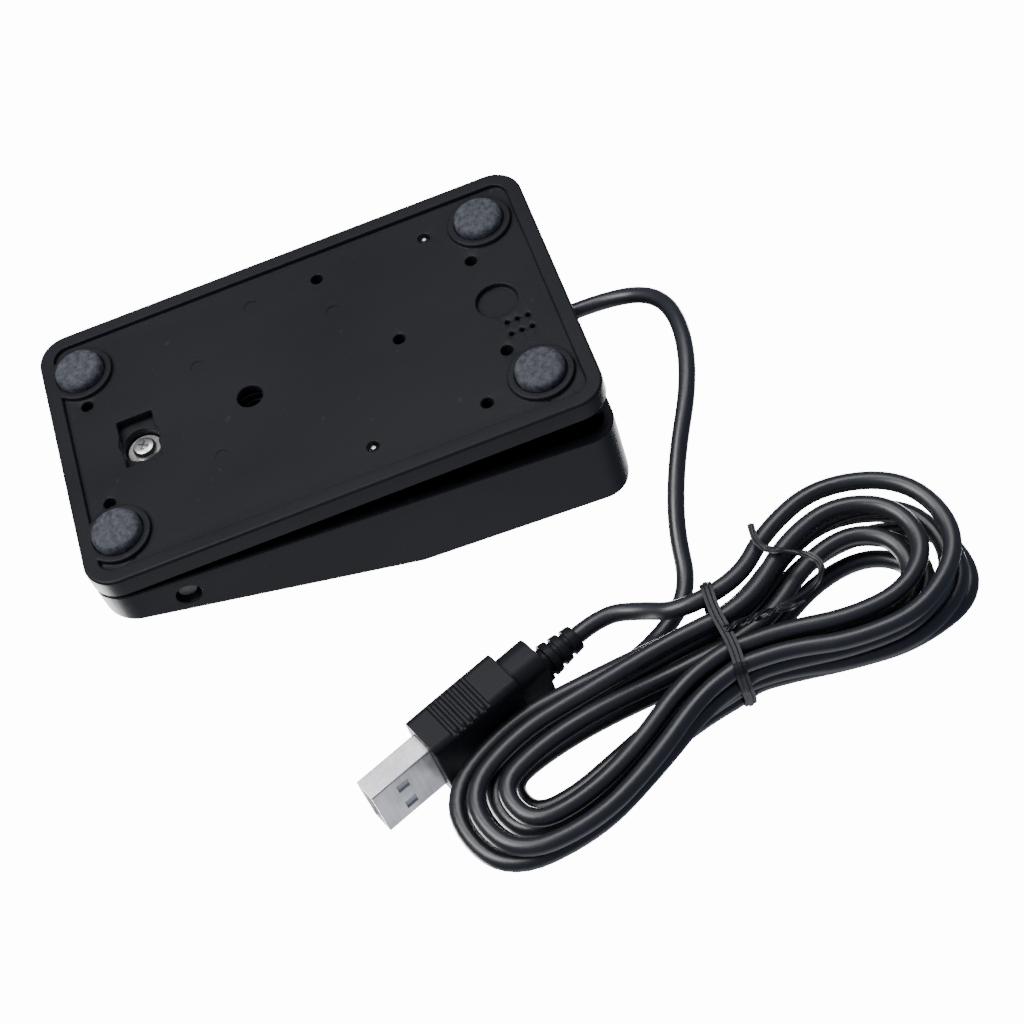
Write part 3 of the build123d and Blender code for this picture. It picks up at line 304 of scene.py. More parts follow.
def cord_jacket(colour):
    """Soft black jacket, smooth with a faint orange peel and slow changes of gloss."""
    material, tree, shader = start_finish("cord_jacket", colour, roughness=0.36)
    shader.inputs["Specular IOR Level"].default_value = 0.85
    slow = object_noise(tree, scale=55.0)
    tree.links.new(spread(tree, slow, 0.30, 0.42), shader.inputs["Roughness"])
    relief(tree, shader, object_noise(tree, scale=1500.0, detail=3.0), distance=0.015 * MM)
    tint(tree, shader, colour, spread(tree, slow, 0.0, 1.0), lighter(colour, by=1.5))
    return material


def tie_plastic(colour):
    """Thin shiny black ribbon with creases across it."""
    material, tree, shader = start_finish("tie_plastic", colour, roughness=0.42)
    creases = object_noise(tree, scale=650.0, detail=3.0, stretch=(1.0, 0.4, 1.0))
    relief(tree, shader, creases, distance=0.08 * MM)
    tint(tree, shader, colour, spread(tree, creases, 0.0, 1.0), lighter(colour, by=1.6))
    return material


def plated_metal(name, colour, roughness, streak=(1, 1, 1), depth=0.004 * MM):
    """Plated metal with a fine drawn grain and dull patches."""
    material, tree, shader = start_finish(name, colour, roughness, metallic=1.0)
    grain = object_noise(tree, scale=1400.0, detail=3.0, stretch=streak)
    dull = object_noise(tree, scale=160.0, detail=3.0)
    glossiest, dullest = roughness * 0.75, roughness * 1.5
    tree.links.new(spread(tree, dull, glossiest, dullest), shader.inputs["Roughness"])
    tint(tree, shader, colour, spread(tree, grain, 0.0, 1.0), lighter(colour, by=0.82))
    relief(tree, shader, grain, depth)
    return material


def coated_board(colour):
    """Green coated laminate with copper tracks showing through as lighter bands."""
    material, tree, shader = start_finish("board_laminate", colour, roughness=0.32)
    place = add_node(tree, "ShaderNodeTexCoord").outputs["Object"]
    tracks = add_node(
        tree, "ShaderNodeTexBrick",
        {"Vector": place, "Scale": 420.0, "Mortar Size": 0.05,
         "Color1": (1, 1, 1, 1), "Color2": (1, 1, 1, 1), "Mortar": (0, 0, 0, 1)}).outputs["Fac"]
    tint(tree, shader, colour, tracks, lighter(colour, by=2.4))
    relief(tree, shader, tracks, distance=0.03 * MM)
    return material


def lead_sleeve(name, colour):
    """Coloured insulation of a thin lead."""
    material, tree, shader = start_finish(name, colour, roughness=0.4)
    slow = object_noise(tree, scale=700.0)
    tint(tree, shader, colour, spread(tree, slow, 0.0, 1.0), lighter(colour, by=0.8))
    relief(tree, shader, slow, distance=0.01 * MM)
    return material


SLEEVE_RED = (0.42, 0.012, 0.012)
SLEEVE_BLACK = (0.012, 0.012, 0.013)
SLEEVE_WHITE = (0.70, 0.70, 0.68)
SLEEVE_GREEN = (0.02, 0.22, 0.06)
PLUNGER_RED = (0.32, 0.02, 0.02)

finishes = {}


def make_finishes(colours):
    """Makes every finish once, by the record's slot names."""
    dark_steel = lighter(colours.spring, by=0.3)
    finishes["foot_rubber"] = foot_rubber(colours.rubber)
    finishes["board_laminate"] = coated_board(colours.board)
    finishes["cord_jacket"] = cord_jacket(colours.jacket)
    finishes["tie_plastic"] = tie_plastic(lighter(colours.jacket, by=0.9))
    for name, *look in (
            ("shell_plastic", colours.plastic, 0.46, 2600.0, True),
            ("switch_plastic", lighter(colours.plastic, by=1.3), 0.5),
            ("plunger_plastic", PLUNGER_RED, 0.4),
            ("chip_plastic", lighter(colours.plastic, by=1.5), 0.55),
            ("plug_plastic", lighter(colours.plastic, by=1.15), 0.44, 2100.0),
            ("tongue_plastic", colours.tongue, 0.45)):
        finishes[name] = moulded_plastic(name, *look)
    for name, *look in (
            ("pin_steel", dark_steel, 0.5, (0.1, 1, 1)),
            ("screw_steel", colours.steel, 0.32),
            # On the spring, dark_steel (three tenths of the spring colour) is painted shade: it
            # makes the coils read black inside the tray's hole.
            ("spring_steel", dark_steel, 0.4),
            ("lever_steel", colours.steel, 0.28, (1, 0.1, 1)),
            ("contact_brass", colours.brass, 0.25, (0.2, 1, 1)),
            ("switch_pin_steel", colours.spring, 0.3),
            ("can_metal", colours.nickel, 0.3, (1, 1, 0.1)),
            ("solder_tin", lighter(colours.nickel, by=0.9), 0.35, (1, 1, 1), 0.03 * MM),
            ("plug_metal", lighter(colours.nickel, by=1.25), 0.42, (1, 1, 0.06))):
        finishes[name] = plated_metal(name, *look)
    for name, colour in (
            ("lead_red", SLEEVE_RED), ("lead_black", SLEEVE_BLACK), ("core_red", SLEEVE_RED),
            ("core_white", SLEEVE_WHITE), ("core_green", SLEEVE_GREEN),
            ("core_black", SLEEVE_BLACK)):
        finishes[name] = lead_sleeve(name, colour)


def dress_node(name):
    """Gives a carried-over node the finish of its slot."""
    slots = {part["node"]: part["material_slot"] for part in frame["record"]["subparts"]}
    mesh = nodes[name].data
    mesh.materials.clear()
    mesh.materials.append(finishes[slots[name]])


# Pieces


def settle(bm, name, slot, body, replaced=(), crease=40.0, weighted=False):
    """Turns a finished bmesh into a piece that rides on its body."""
    mesh = bpy.data.meshes.new(name)
    bm.to_mesh(mesh)
    bm.free()
    for polygon in mesh.polygons:
        polygon.use_smooth = True
    mesh.set_sharp_from_angle(angle=math.radians(crease))
    mesh.materials.append(finishes[slot])
    piece = bpy.data.objects.new(name, mesh)
    bpy.context.scene.collection.objects.link(piece)
    if weighted:
        even = piece.modifiers.new("even_normals", "WEIGHTED_NORMAL")
        even.keep_sharp = True
    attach(piece, body)
    if replaced:
        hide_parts(*replaced)
    return piece


def softened_copy(name, node, slot, body, edge, leave=()):
    """A node's merged mesh, its hard edges rounded save those near the places to leave."""
    hard_turn = math.radians(30.0)
    near = 2 * MM
    bm = bmesh.new()
    bm.from_mesh(nodes[node].data)
    bmesh.ops.remove_doubles(bm, verts=bm.verts, dist=SAME_POINT)
    hard = [
        e for e in bm.edges
        if len(e.link_faces) == 2 and e.calc_face_angle(0) > hard_turn
        and all((e.verts[0].co.xy - Vector(spot)).length > near for spot in leave)
    ]
    bmesh.ops.bevel(
        bm, geom=hard, offset=edge, offset_type="OFFSET", segments=2, profile=0.5,
        affect="EDGES", clamp_overlap=False, material=-1)
    bmesh.ops.remove_doubles(bm, verts=bm.verts, dist=10 * SAME_POINT)
    piece = settle(bm, name, slot, body, (node,), crease=50.0, weighted=True)
    for polygon in piece.data.polygons:
        if any((polygon.center.xy - Vector(spot)).length < near for spot in leave):
            polygon.use_smooth = False


def lathe(bm, profile, centre, steps):
    """Spins a profile of (radius, height) points round an upright axis through centre."""
    verts = [bm.verts.new((centre[0] + r, centre[1], centre[2] + z)) for r, z in profile]
    edges = [bm.edges.new(pair) for pair in zip(verts, verts[1:])]
    bmesh.ops.spin(
        bm, geom=verts + edges, cent=centre, axis=(0, 0, 1), angle=2 * math.pi,
        steps=steps, use_merge=True)
    bmesh.ops.remove_doubles(bm, verts=bm.verts, dist=SAME_POINT)


def sweep_section(bm, section, stations):
    """Draws a closed section through a row of placing matrices, capped at both ends."""
    start = [bm.verts.new(stations[0] @ Vector(point)) for point in section]
    face = bm.faces.new(start)
    first = face
    for before, after in zip(stations, stations[1:]):
        made = bmesh.ops.extrude_face_region(bm, geom=[face], use_keep_orig=face is first)
        moved = [v for v in made["geom"] if isinstance(v, bmesh.types.BMVert)]
        face = [f for f in made["geom"] if isinstance(f, bmesh.types.BMFace)][0]
        bmesh.ops.transform(bm, matrix=after @ before.inverted(), verts=moved)
    bmesh.ops.recalc_face_normals(bm, faces=bm.faces)


def placing(place, ahead, up):
    """Matrix whose Z runs ahead along a path and whose Y keeps near up."""
    z = ahead.normalized()
    x = up.cross(z).normalized()
    y = z.cross(x)
    matrix = Matrix((x, y, z)).transposed().to_4x4()
    matrix.translation = place
    return matrix


# Cord


EXIT_ROUTE = [
    (-6.0, 50.0, 6.65), (-6.0, 58.5, 6.65), (-12.0, 65.5, 3.6), (-22.0, 66.8, 1.8),
    (-34.0, 63.8, 2.6), (-46.0, 56.4, 6.8), (-57.0, 51.6, 11.0), (-68.2, 49.9, 14.1),
]
HANK_MIDDLE = Vector((-85.6, 51.5, 0.0))
HANK_KEYS = 10


def lobe_axes(turn_deg):
    """Directions along and across a lobe turned from +Y toward +X."""
    turn = math.radians(turn_deg)
    return (
        Vector((math.sin(turn), math.cos(turn), 0)),
        Vector((math.cos(turn), -math.sin(turn), 0)),
    )


# The hank in millimetres and degrees; a STEP is what each ring outward adds, a SHIFT each layer
WAIST_SIDE, WAIST_SIDE_STEP = 0.88, 3.5
WAIST_REACH, WAIST_REACH_STEP = 3.6, -1.2
WAIST_TILT, FAR_TILT_SHARE = 0.58, 0.8
RIGHT_TURN, LEFT_TURN, LEFT_FAN_SHARE = 8.5, 18.0, 0.4
TAPER_SHARE, TAPER_SHARE_STEP = 0.4, 0.3
SHOULDER_STEP, RIGHT_SHOULDER, LEFT_SHOULDER = -2.0, 25.0, 32.0
RIGHT_SIDE, RIGHT_SIDE_STEP, RIGHT_FAR_SHIFT = 7.0, 4.2, 1.0
LEFT_SIDE, LEFT_SIDE_STEP, LEFT_NEAR_SHIFT, LEFT_FAR_SHIFT = 5.0, 3.9, 0.2, 1.5
RIGHT_TIP, RIGHT_TIP_STEP, LAST_TURN_REACH = 32.3, 5.4, 3.5
LEFT_TIP, LEFT_TIP_STEP, LEFT_TIP_SHIFT, LEFT_TIP_ASIDE = 43.0, 5.6, -0.8, 0.9
SLACK, SLACK_PACE, SLACK_START = 0.6, 2.3, 0.4
LOBE_PULL = 1.6
HANK_END_BACK, HANK_END_ASIDE = 16.0, 12.6


def hank_key(count, shape):
    """Place in millimetres and heading of one key of the hank, counted from the plug's end."""
    turns = count / HANK_KEYS
    per_layer = shape.turns / shape.layers
    layer = min(int(turns / per_layer + TINY), shape.layers - 1)
    within = turns - layer * per_layer
    ring = per_layer - within if layer % 2 == 0 else within
    over = layer - (shape.layers - 1) / 2
    push = (shape.lean * over + shape.stagger * (-1) ** ((layer + 1) // 2)) / MM
    height = (shape.lift + shape.diameter / 2 + layer * shape.pitch) / MM
    waist, waist_across = lobe_axes(0.0)
    right, right_across = lobe_axes(RIGHT_TURN - shape.fan * over)
    left, left_across = lobe_axes(LEFT_TURN - shape.fan * LEFT_FAN_SHARE * over)
    taper = math.radians(shape.taper * (TAPER_SHARE + TAPER_SHARE_STEP * ring))
    ahead, aside = math.cos(taper), math.sin(taper)
    side = WAIST_SIDE + WAIST_SIDE_STEP * ring
    reach = WAIST_REACH + WAIST_REACH_STEP * ring
    far_tilt = FAR_TILT_SHARE * WAIST_TILT
    slack = SLACK * math.sin(SLACK_PACE * int(turns) + SLACK_START)
    extra = LAST_TURN_REACH if turns > shape.turns - 1 else slack
    right_side = RIGHT_SIDE + RIGHT_SIDE_STEP * ring
    right_shoulder = RIGHT_SHOULDER + SHOULDER_STEP * ring
    right_tip = RIGHT_TIP + RIGHT_TIP_STEP * ring + extra
    left_side = LEFT_SIDE + LEFT_SIDE_STEP * ring
    left_shoulder = LEFT_SHOULDER + SHOULDER_STEP * ring
    left_tip = LEFT_TIP + LEFT_TIP_STEP * ring + LEFT_TIP_SHIFT * layer + slack
    table = {
        0: (waist, waist_across, -WAIST_REACH, side - WAIST_TILT, waist),
        1: (waist, waist_across, reach, side + WAIST_TILT, waist),
        2: (right, right_across, right_shoulder, right_side,
            right * ahead + right_across * aside),
        3: (right, right_across, right_tip, 0, -right_across),
        4: (right, right_across, right_shoulder, RIGHT_FAR_SHIFT * layer - right_side,
            right_across * aside - right * ahead),
        5: (waist, waist_across, WAIST_REACH, far_tilt - side, -waist),
        6: (waist, waist_across, -reach, -side - far_tilt, -waist),
        7: (left, left_across, -left_shoulder, LEFT_FAR_SHIFT * layer - left_side,
            -left * ahead - left_across * aside),
        8: (left, left_across, -left_tip, LEFT_TIP_ASIDE * layer, left_across),
        9: (left, left_across, -left_shoulder, LEFT_NEAR_SHIFT * layer + left_side,
            left * ahead - left_across * aside),
    }
    beside = {0: (9, -1), 1: (2, 1), 5: (4, -1), 6: (7, 1)}

    def spot(kind):
        along_dir, across_dir, along, across, _ = table[kind]
        return along_dir * along + across_dir * across

    kind = count % HANK_KEYS
    heading = table[kind][4]
    if kind in beside:
        other, sense = beside[kind]
        toward_lobe = ((spot(other) - spot(kind)) * sense).normalized()
        heading = (heading + toward_lobe * LOBE_PULL).normalized()
    place = HANK_MIDDLE + spot(kind)
    place.x += push
    place.z = height
    return place, heading


def turn_corners(start, start_dir, end, end_dir):
    """The two corners that a smooth turn between two keys goes round."""
    chord = end - start
    across = chord.dot(start_dir + end_dir)
    turn = 2 * (1 - start_dir.dot(end_dir))
    if turn < TINY:
        reach = chord.dot(chord) / (2 * across)
    else:
        reach = (math.sqrt(across ** 2 + turn * chord.dot(chord)) - across) / turn
    return start + start_dir * reach, end - end_dir * reach


def hank_corners(shape):
    """Control points of the hank from the plug's end to the pedal's end, and its two ends."""
    keys = [hank_key(count, shape) for count in range(1, shape.turns * HANK_KEYS)]
    left, left_across = lobe_axes(LEFT_TURN)
    end = HANK_MIDDLE - left * HANK_END_BACK + left_across * HANK_END_ASIDE
    end.z = keys[-1][0].z
    keys.append((end, left))
    corners = []
    for (here, here_dir), (there, there_dir) in zip(keys, keys[1:]):
        corners.extend(turn_corners(here, here_dir, there, there_dir))
    return corners, keys[0], keys[-1]


PLUG_BACK = Vector((-72.5, 28.5, 7.9))
PLUG_TURN, PLUG_STRAIGHT = 22.3, 6.15
PLUG_APPROACH = Vector((-72.8, 40.6, 7.2))
LEAD_IN_DIAMETERS, LEAD_OUT_DIAMETERS = 3, 2.25


def cord_route(shape):
    """Control points of the whole cord in millimetres, from the tray to the plug."""
    corners, (plug_side, _), (pedal_side, pedal_side_dir) = hank_corners(shape)
    waist = lobe_axes(0.0)[0]
    thickness = shape.diameter / MM
    turn = math.radians(PLUG_TURN)
    plug_dir = Vector((-math.sin(turn), -math.cos(turn), 0))
    return [
        *map(Vector, EXIT_ROUTE),
        pedal_side + pedal_side_dir * thickness * LEAD_IN_DIAMETERS,
        *reversed(corners),
        plug_side - waist * thickness * LEAD_OUT_DIAMETERS,
        PLUG_APPROACH, PLUG_BACK - plug_dir * PLUG_STRAIGHT, PLUG_BACK,
    ]


def draw_route(name, points):
    """A curve object, not yet in the scene, that runs smoothly by control points in millimetres."""
    curve = bpy.data.curves.new(name, "CURVE")
    curve.dimensions = "3D"
    spline = curve.splines.new("NURBS")
    spline.points.add(len(points) - 1)
    for point, place in zip(spline.points, points):
        point.co = (*(Vector(place) * MM), 1.0)
    spline.order_u = 3
    spline.use_endpoint_u = True
    curve.resolution_u = spline.resolution_u = 8
    return bpy.data.objects.new(name, curve)


def smooth_route(points):
    """Points in metres along the smooth line of a few control points given in millimetres."""
    holder = draw_route("route", points)
    curve = holder.data
    mesh = bpy.data.meshes.new_from_object(holder)
    places = [v.co.copy() for v in mesh.vertices]
    bpy.data.objects.remove(holder)
    bpy.data.curves.remove(curve)
    bpy.data.meshes.remove(mesh)
    return places


class PEDAL_OT_cord(bpy.types.Operator):
    """Cord from the tray through its tied hank to the plug"""

    bl_idname = "pedal.cord"
    bl_label = "Cord"

    def execute(self, context):
        shape = context.scene.pedal_cord
        piece = draw_route("cord", cord_route(shape))
        piece.data.bevel_depth = shape.diameter / 2
        piece.data.bevel_resolution = 6
        piece.data.use_fill_caps = True
        piece.data.materials.append(finishes["cord_jacket"])
        context.scene.collection.objects.link(piece)
        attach(piece, "base")
        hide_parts("cord_exit_run", "cord_hank", "cord_plug_run")
        return {"FINISHED"}


WAIST_HALF_WIDTH = 15 * MM
STRAND_STEPS, BAND_STEPS = 32, 96
BAND_WAVE, BAND_WAVE_PACE = 0.5 * MM, 160


def band_round_waist(shape, off):
    """Even points in metres of a band drawn tight round the strands at the waist."""
    line = smooth_route(cord_route(shape))
    plane = HANK_MIDDLE.y * MM
    reach = shape.diameter / 2 + off
    dots = []
    for here, there in zip(line, line[1:]):
        if (here.y - plane) * (there.y - plane) > 0 or here.y == there.y:
            continue
        spot = here.lerp(there, (plane - here.y) / (there.y - here.y))
        if abs(spot.x - HANK_MIDDLE.x * MM) < WAIST_HALF_WIDTH:
            for step in range(STRAND_STEPS):
                angle = 2 * math.pi * step / STRAND_STEPS
                dots.append((spot.x + reach * math.cos(angle), spot.z + reach * math.sin(angle)))
    dots.sort()
    hull = []
    for points in (dots, dots[::-1]):
        chain = []
        for point in points:
            while len(chain) > 1 and (
                    (chain[-1][0] - chain[-2][0]) * (point[1] - chain[-2][1])
                    <= (chain[-1][1] - chain[-2][1]) * (point[0] - chain[-2][0])):
                chain.pop()
            chain.append(point)
        hull.extend(chain[:-1])
    ring = [Vector((x, plane, z)) for x, z in hull]
    lengths = [(b - a).length for a, b in zip(ring, ring[1:] + ring[:1])]
    whole = sum(lengths)
    places = []
    index, passed = 0, 0.0
    for step in range(BAND_STEPS):
        target = whole * step / BAND_STEPS
        while passed + lengths[index] < target:
            passed += lengths[index]
            index += 1
        share = (target - passed) / lengths[index]
        place = ring[index].lerp(ring[(index + 1) % len(ring)], share)
        place.y += noise.noise(place * BAND_WAVE_PACE) * BAND_WAVE
        places.append(place)
    return places


RIBBON_HALF, RIBBON_OFF = 1.0 * MM, 0.08 * MM
WING_START_SHARE, WIRE_FLAT_SHARE = 1.3, 0.7
TWIST_FROM, TWIST_TO = Vector((-85.6, 51.5, 1.25)) * MM, Vector((-85.6, 61.2, 1.25)) * MM
TWIST_STEPS, TWIST_HALF_TURNS, TWIST_RADIUS = 24, 2.6, 0.45 * MM
TWIST_SHARES, TAIL_SHARES = (0.45, 0.8), (0.6, 0.9)
TAIL_ROLL, TAIL_ROLL_PACE, TAIL_LEAN = 0.9, 0.35, 0.8
RIBBON_TAILS = (
    [(-85.6, 60.4, 1.2), (-85.0, 66.5, 1.1), (-82.2, 70.3, 1.0), (-78.8, 70.1, 1.0),
     (-76.0, 66.4, 1.0), (-74.2, 63.0, 1.0), (-71.4, 62.0, 1.0), (-68.4, 62.6, 1.0)],
    [(-85.6, 60.4, 1.0), (-86.6, 62.9, 1.0), (-86.2, 65.4, 1.0)],
)
FLOOR_GAP, TAIL_TOP = 0.05 * MM, 3.5 * MM


def ribbon_section(sizes):
    """Section of the ribbon: two flat wings and the raised wire between them."""
    wire, edge = sizes.ribbon_wire / 2, sizes.ribbon_edge / 2
    start, flat = wire * WING_START_SHARE, wire * WIRE_FLAT_SHARE
    low = [
        (-RIBBON_HALF, -edge, 0), (-start, -edge, 0), (-flat, -wire, 0),
        (flat, -wire, 0), (start, -edge, 0), (RIBBON_HALF, -edge, 0),
    ]
    return low + [(-x, -y, z) for x, y, z in low]


def slimmer(section, shares):
    """The same section, narrower and thinner by two shares."""
    return [(x * shares[0], y * shares[1], z) for x, y, z in section]


class PEDAL_OT_twist_tie(bpy.types.Operator):
    """Black ribbon tie round the hank's waist, with its twist and two tails"""

    bl_idname = "pedal.twist_tie"
    bl_label = "Twist tie"

    def execute(self, context):
        sizes = context.scene.pedal_sizes
        section = ribbon_section(sizes)
        off = sizes.ribbon_wire / 2 + RIBBON_OFF
        stations = band_round_waist(context.scene.pedal_cord, off)
        middle = sum(stations, Vector()) / len(stations)
        steps = len(stations)
        bm = bmesh.new()
        frames = []
        for index in range(steps + 1):
            place = stations[index % steps]
            ahead = stations[(index + 1) % steps] - stations[(index - 1) % steps]
            frames.append(placing(place, ahead, (place - middle).normalized()))
        sweep_section(bm, section, frames)
        for side in (0.0, math.pi):
            spiral = []
            for index in range(TWIST_STEPS + 1):
                share = index / TWIST_STEPS
                spin = side + share * TWIST_HALF_TURNS * math.pi
                up = Vector((math.cos(spin), 0, math.sin(spin)))
                place = TWIST_FROM.lerp(TWIST_TO, share) + up * TWIST_RADIUS
                spiral.append(placing(place, TWIST_TO - TWIST_FROM, up))
            sweep_section(bm, slimmer(section, TWIST_SHARES), spiral)
        for tail in RIBBON_TAILS:
            points = smooth_route(tail)
            spiral = []
            for index, place in enumerate(points):
                ahead = points[min(index + 1, len(points) - 1)] - points[max(index - 1, 0)]
                roll = TAIL_ROLL * math.sin(index * TAIL_ROLL_PACE)
                up = Vector((math.sin(roll) * TAIL_LEAN, 0, math.cos(roll)))
                spiral.append(placing(place, ahead, up))
            sweep_section(bm, slimmer(section, TAIL_SHARES), spiral)
        lift = max(0.0, FLOOR_GAP - min(v.co.z for v in bm.verts))
        for v in bm.verts:
            if v.co.z < TAIL_TOP:
                v.co.z += lift
        settle(bm, "twist_tie_ribbon", "tie_plastic", "base", ("twist_tie",))
        return {"FINISHED"}


class PEDAL_OT_plug(bpy.types.Operator):
    """Plug: ringed relief, ribbed grip, plated shell, tongue and contacts"""

    bl_idname = "pedal.plug"
    bl_label = "Plug"

    def execute(self, context):
        sizes = context.scene.pedal_sizes
        for name, node, slot, edge in (
                ("plug_grip", "plug_overmold", "plug_plastic", sizes.plug_edge),
                ("plug_strain_relief", "plug_relief", "plug_plastic", RELIEF_EDGE),
                ("plug_sleeve", "plug_shell", "plug_metal", sizes.sheet_edge),
                ("plug_insulator", "plug_tongue", "tongue_plastic", CASE_EDGE)):
            softened_copy(name, node, slot, "base", edge)
        for index in range(1, 5):
            dress_node(f"plug_contact_{index}")
        return {"FINISHED"}


EJECTOR_MARKS = ((11.5, -20.3), (-11.5, -20.3), (21.2, -7.1), (12.4, 7.6))


class PEDAL_OT_tray(bpy.types.Operator):
    """Moulded base tray with its rim band, bosses and bores"""

    bl_idname = "pedal.tray"
    bl_label = "Tray"

    def execute(self, context):
        sizes = context.scene.pedal_sizes
        marks = [(x * MM, y * MM) for x, y in EJECTOR_MARKS]
        softened_copy(
            "tray_moulding", "base_tray", "shell_plastic", "base", sizes.tray_edge, leave=marks)
        return {"FINISHED"}


# Shares of a foot's radius, with multiples of its crown and then shares of its height
FOOT_TREAD = (
    (0, 0), (0.40, 0.1), (0.62, 0.7), (0.76, 1.6), (0.85, 2.8), (0.92, 5.0), (0.97, 8.0),
    (0.99, 12.0),
)
FOOT_SIDE = ((0.995, 0.8), (0.96, 0.98), (0, 0.98))
FOOT_WAVE, FOOT_WAVE_PACE, FOOT_WAVE_TOP = 0.08 * MM, 420.0, 0.7


class PEDAL_OT_feet(bpy.types.Operator):
    """Four round rubber feet in the tray's bosses"""

    bl_idname = "pedal.feet"
    bl_label = "Rubber feet"

    def execute(self, context):
        crown = context.scene.pedal_sizes.foot_crown
        for spot in ("heel_left", "heel_right", "toe_left", "toe_right"):
            low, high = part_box(f"foot_{spot}")
            centre = ((low.x + high.x) / 2, (low.y + high.y) / 2, low.z)
            radius = (high.x - low.x) / 2
            top = high.z - low.z
            profile = [(radius * out, crown * rise) for out, rise in FOOT_TREAD]
            profile += [(radius * out, top * rise) for out, rise in FOOT_SIDE]
            bm = bmesh.new()
            lathe(bm, profile, centre, steps=64)
            bmesh.ops.recalc_face_normals(bm, faces=bm.faces)
            for v in bm.verts:
                if 0 < v.co.z < top * FOOT_WAVE_TOP:
                    wave = noise.noise(v.co * FOOT_WAVE_PACE) * FOOT_WAVE
                    v.co.z += max(wave, -v.co.z * 0.5)
            settle(
                bm, f"rubber_foot_{spot}", "foot_rubber", "base", (f"foot_{spot}",), crease=60.0)
        return {"FINISHED"}


class PEDAL_OT_pedal(bpy.types.Operator):
    """Wedge-shaped pedal shell"""

    bl_idname = "pedal.pedal"
    bl_label = "Pedal"

    def execute(self, context):
        sizes = context.scene.pedal_sizes
        softened_copy("pedal_moulding", "pedal_shell", "shell_plastic", "pedal", sizes.pedal_edge)
        return {"FINISHED"}


# Shares of a screw head's radius and height, and of its shank's core and length
HEAD = ((0.55, 0.985), (0.82, 0.86), (0.96, 0.60), (1, 0.32), (0.985, 0), (0, 0))
SHANK = ((0, 0), (1, 0), (1, 0.86), (0.45, 0.985), (0, 1))
CROSS_LONG, CROSS_HALF, CROSS_TURN = 0.46, 0.12, 0.5
PIT_SHARE, PIT_DEPTH = 0.5, 0.6
# The run is a share of the shank's length, the root of its core, the others of the pitch
THREAD_RUN, THREAD_ROOT, THREAD_START = 0.84, 0.9, 0.1
CREST_FROM, CREST_TO, THREAD_END = 0.27, 0.33, 0.6
THREAD_STEPS = 18


def screw_head(bm, seat, height, radius):
    """Pan head with a tapered cross recess on its seat; a negative height faces down."""
    x, y, _ = seat
    lathe(bm, [(radius * out, height * rise) for out, rise in HEAD], seat, steps=40)
    rim = [e for e in bm.edges if e.is_boundary]
    top = rim[0].verts[0].co.z
    long, half = radius * CROSS_LONG, radius * CROSS_HALF
    floor = top - height * PIT_DEPTH
    quarter = [(long, -half), (long, half), (half, half)]
    outline = []
    for turn in range(4):
        spin = Matrix.Rotation(turn * math.pi / 2 + CROSS_TURN, 2)
        outline.extend(spin @ Vector(point) for point in quarter)
    mouth = [bm.verts.new((x + p.x, y + p.y, top)) for p in outline]
    pit = [bm.verts.new((x + p.x * PIT_SHARE, y + p.y * PIT_SHARE, floor)) for p in outline]
    edges = [bm.edges.new(pair) for pair in zip(mouth, mouth[1:] + mouth[:1])]
    bmesh.ops.triangle_fill(bm, edges=rim + edges, use_beauty=True)
    for index in range(len(mouth)):
        after = (index + 1) % len(mouth)
        bm.faces.new((mouth[index], mouth[after], pit[after], pit[index]))
    bm.faces.new(pit)
    bmesh.ops.recalc_face_normals(bm, faces=bm.faces)


def screw_piece(
        name, node, head_up, head_height, shank_radius, sizes, slot="screw_steel", tip_back=0.0):
    """Pan-head screw with a cross recess and a real thread, in the place of a node."""
    low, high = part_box(node)
    centre_x, centre_y = (low.x + high.x) / 2, (low.y + high.y) / 2
    head_radius = (high.x - low.x) / 2
    direction = 1 if head_up else -1
    seat = high.z - head_height if head_up else low.z + head_height
    tip = low.z + tip_back if head_up else high.z
    bm = bmesh.new()
    screw_head(bm, (centre_x, centre_y, seat), direction * head_height, head_radius)
    core = shank_radius - sizes.thread_depth
    length = tip - seat
    shank = bmesh.new()
    profile = [(core * out, length * along) for out, along in SHANK]
    lathe(shank, profile, (centre_x, centre_y, seat), steps=24)
    bmesh.ops.recalc_face_normals(shank, faces=shank.faces)
    pitch = sizes.thread_pitch
    turns = max(1, int(abs(length) * THREAD_RUN / pitch))
    start = pitch * THREAD_START
    base = seat - direction * start
    root = core * THREAD_ROOT
    face = shank.faces.new([
        shank.verts.new((centre_x + out, centre_y, base - direction * (pitch * along + start)))
        for out, along in (
            (root, 0), (shank_radius, CREST_FROM), (shank_radius, CREST_TO), (root, THREAD_END))
    ])
    bmesh.ops.spin(
        shank, geom=[face], cent=(centre_x, centre_y, base), axis=(0, 0, 1),
        dvec=(0, 0, -direction * pitch / THREAD_STEPS), angle=2 * math.pi * turns,
        steps=THREAD_STEPS * turns, use_duplicate=False)
    bmesh.ops.recalc_face_normals(shank, faces=shank.faces)
    turned = bpy.data.meshes.new("shank")
    shank.to_mesh(turned)
    shank.free()
    bm.from_mesh(turned)
    bpy.data.meshes.remove(turned)
    settle(bm, name, slot, "base", (node,), crease=32.0)


# Height of each kind of screw's head, and its thread's radius
AXLE_SCREW, POST_SCREW, CLAMP_SCREW = (
    (1.6 * MM, 1.45 * MM), (1.4 * MM, 1.1 * MM), (1.1 * MM, 0.74 * MM))
HEEL_TIP_BACK = 1.4 * MM
WASHER_BORE, WASHER_EDGE = 1.6 * MM, 0.08 * MM


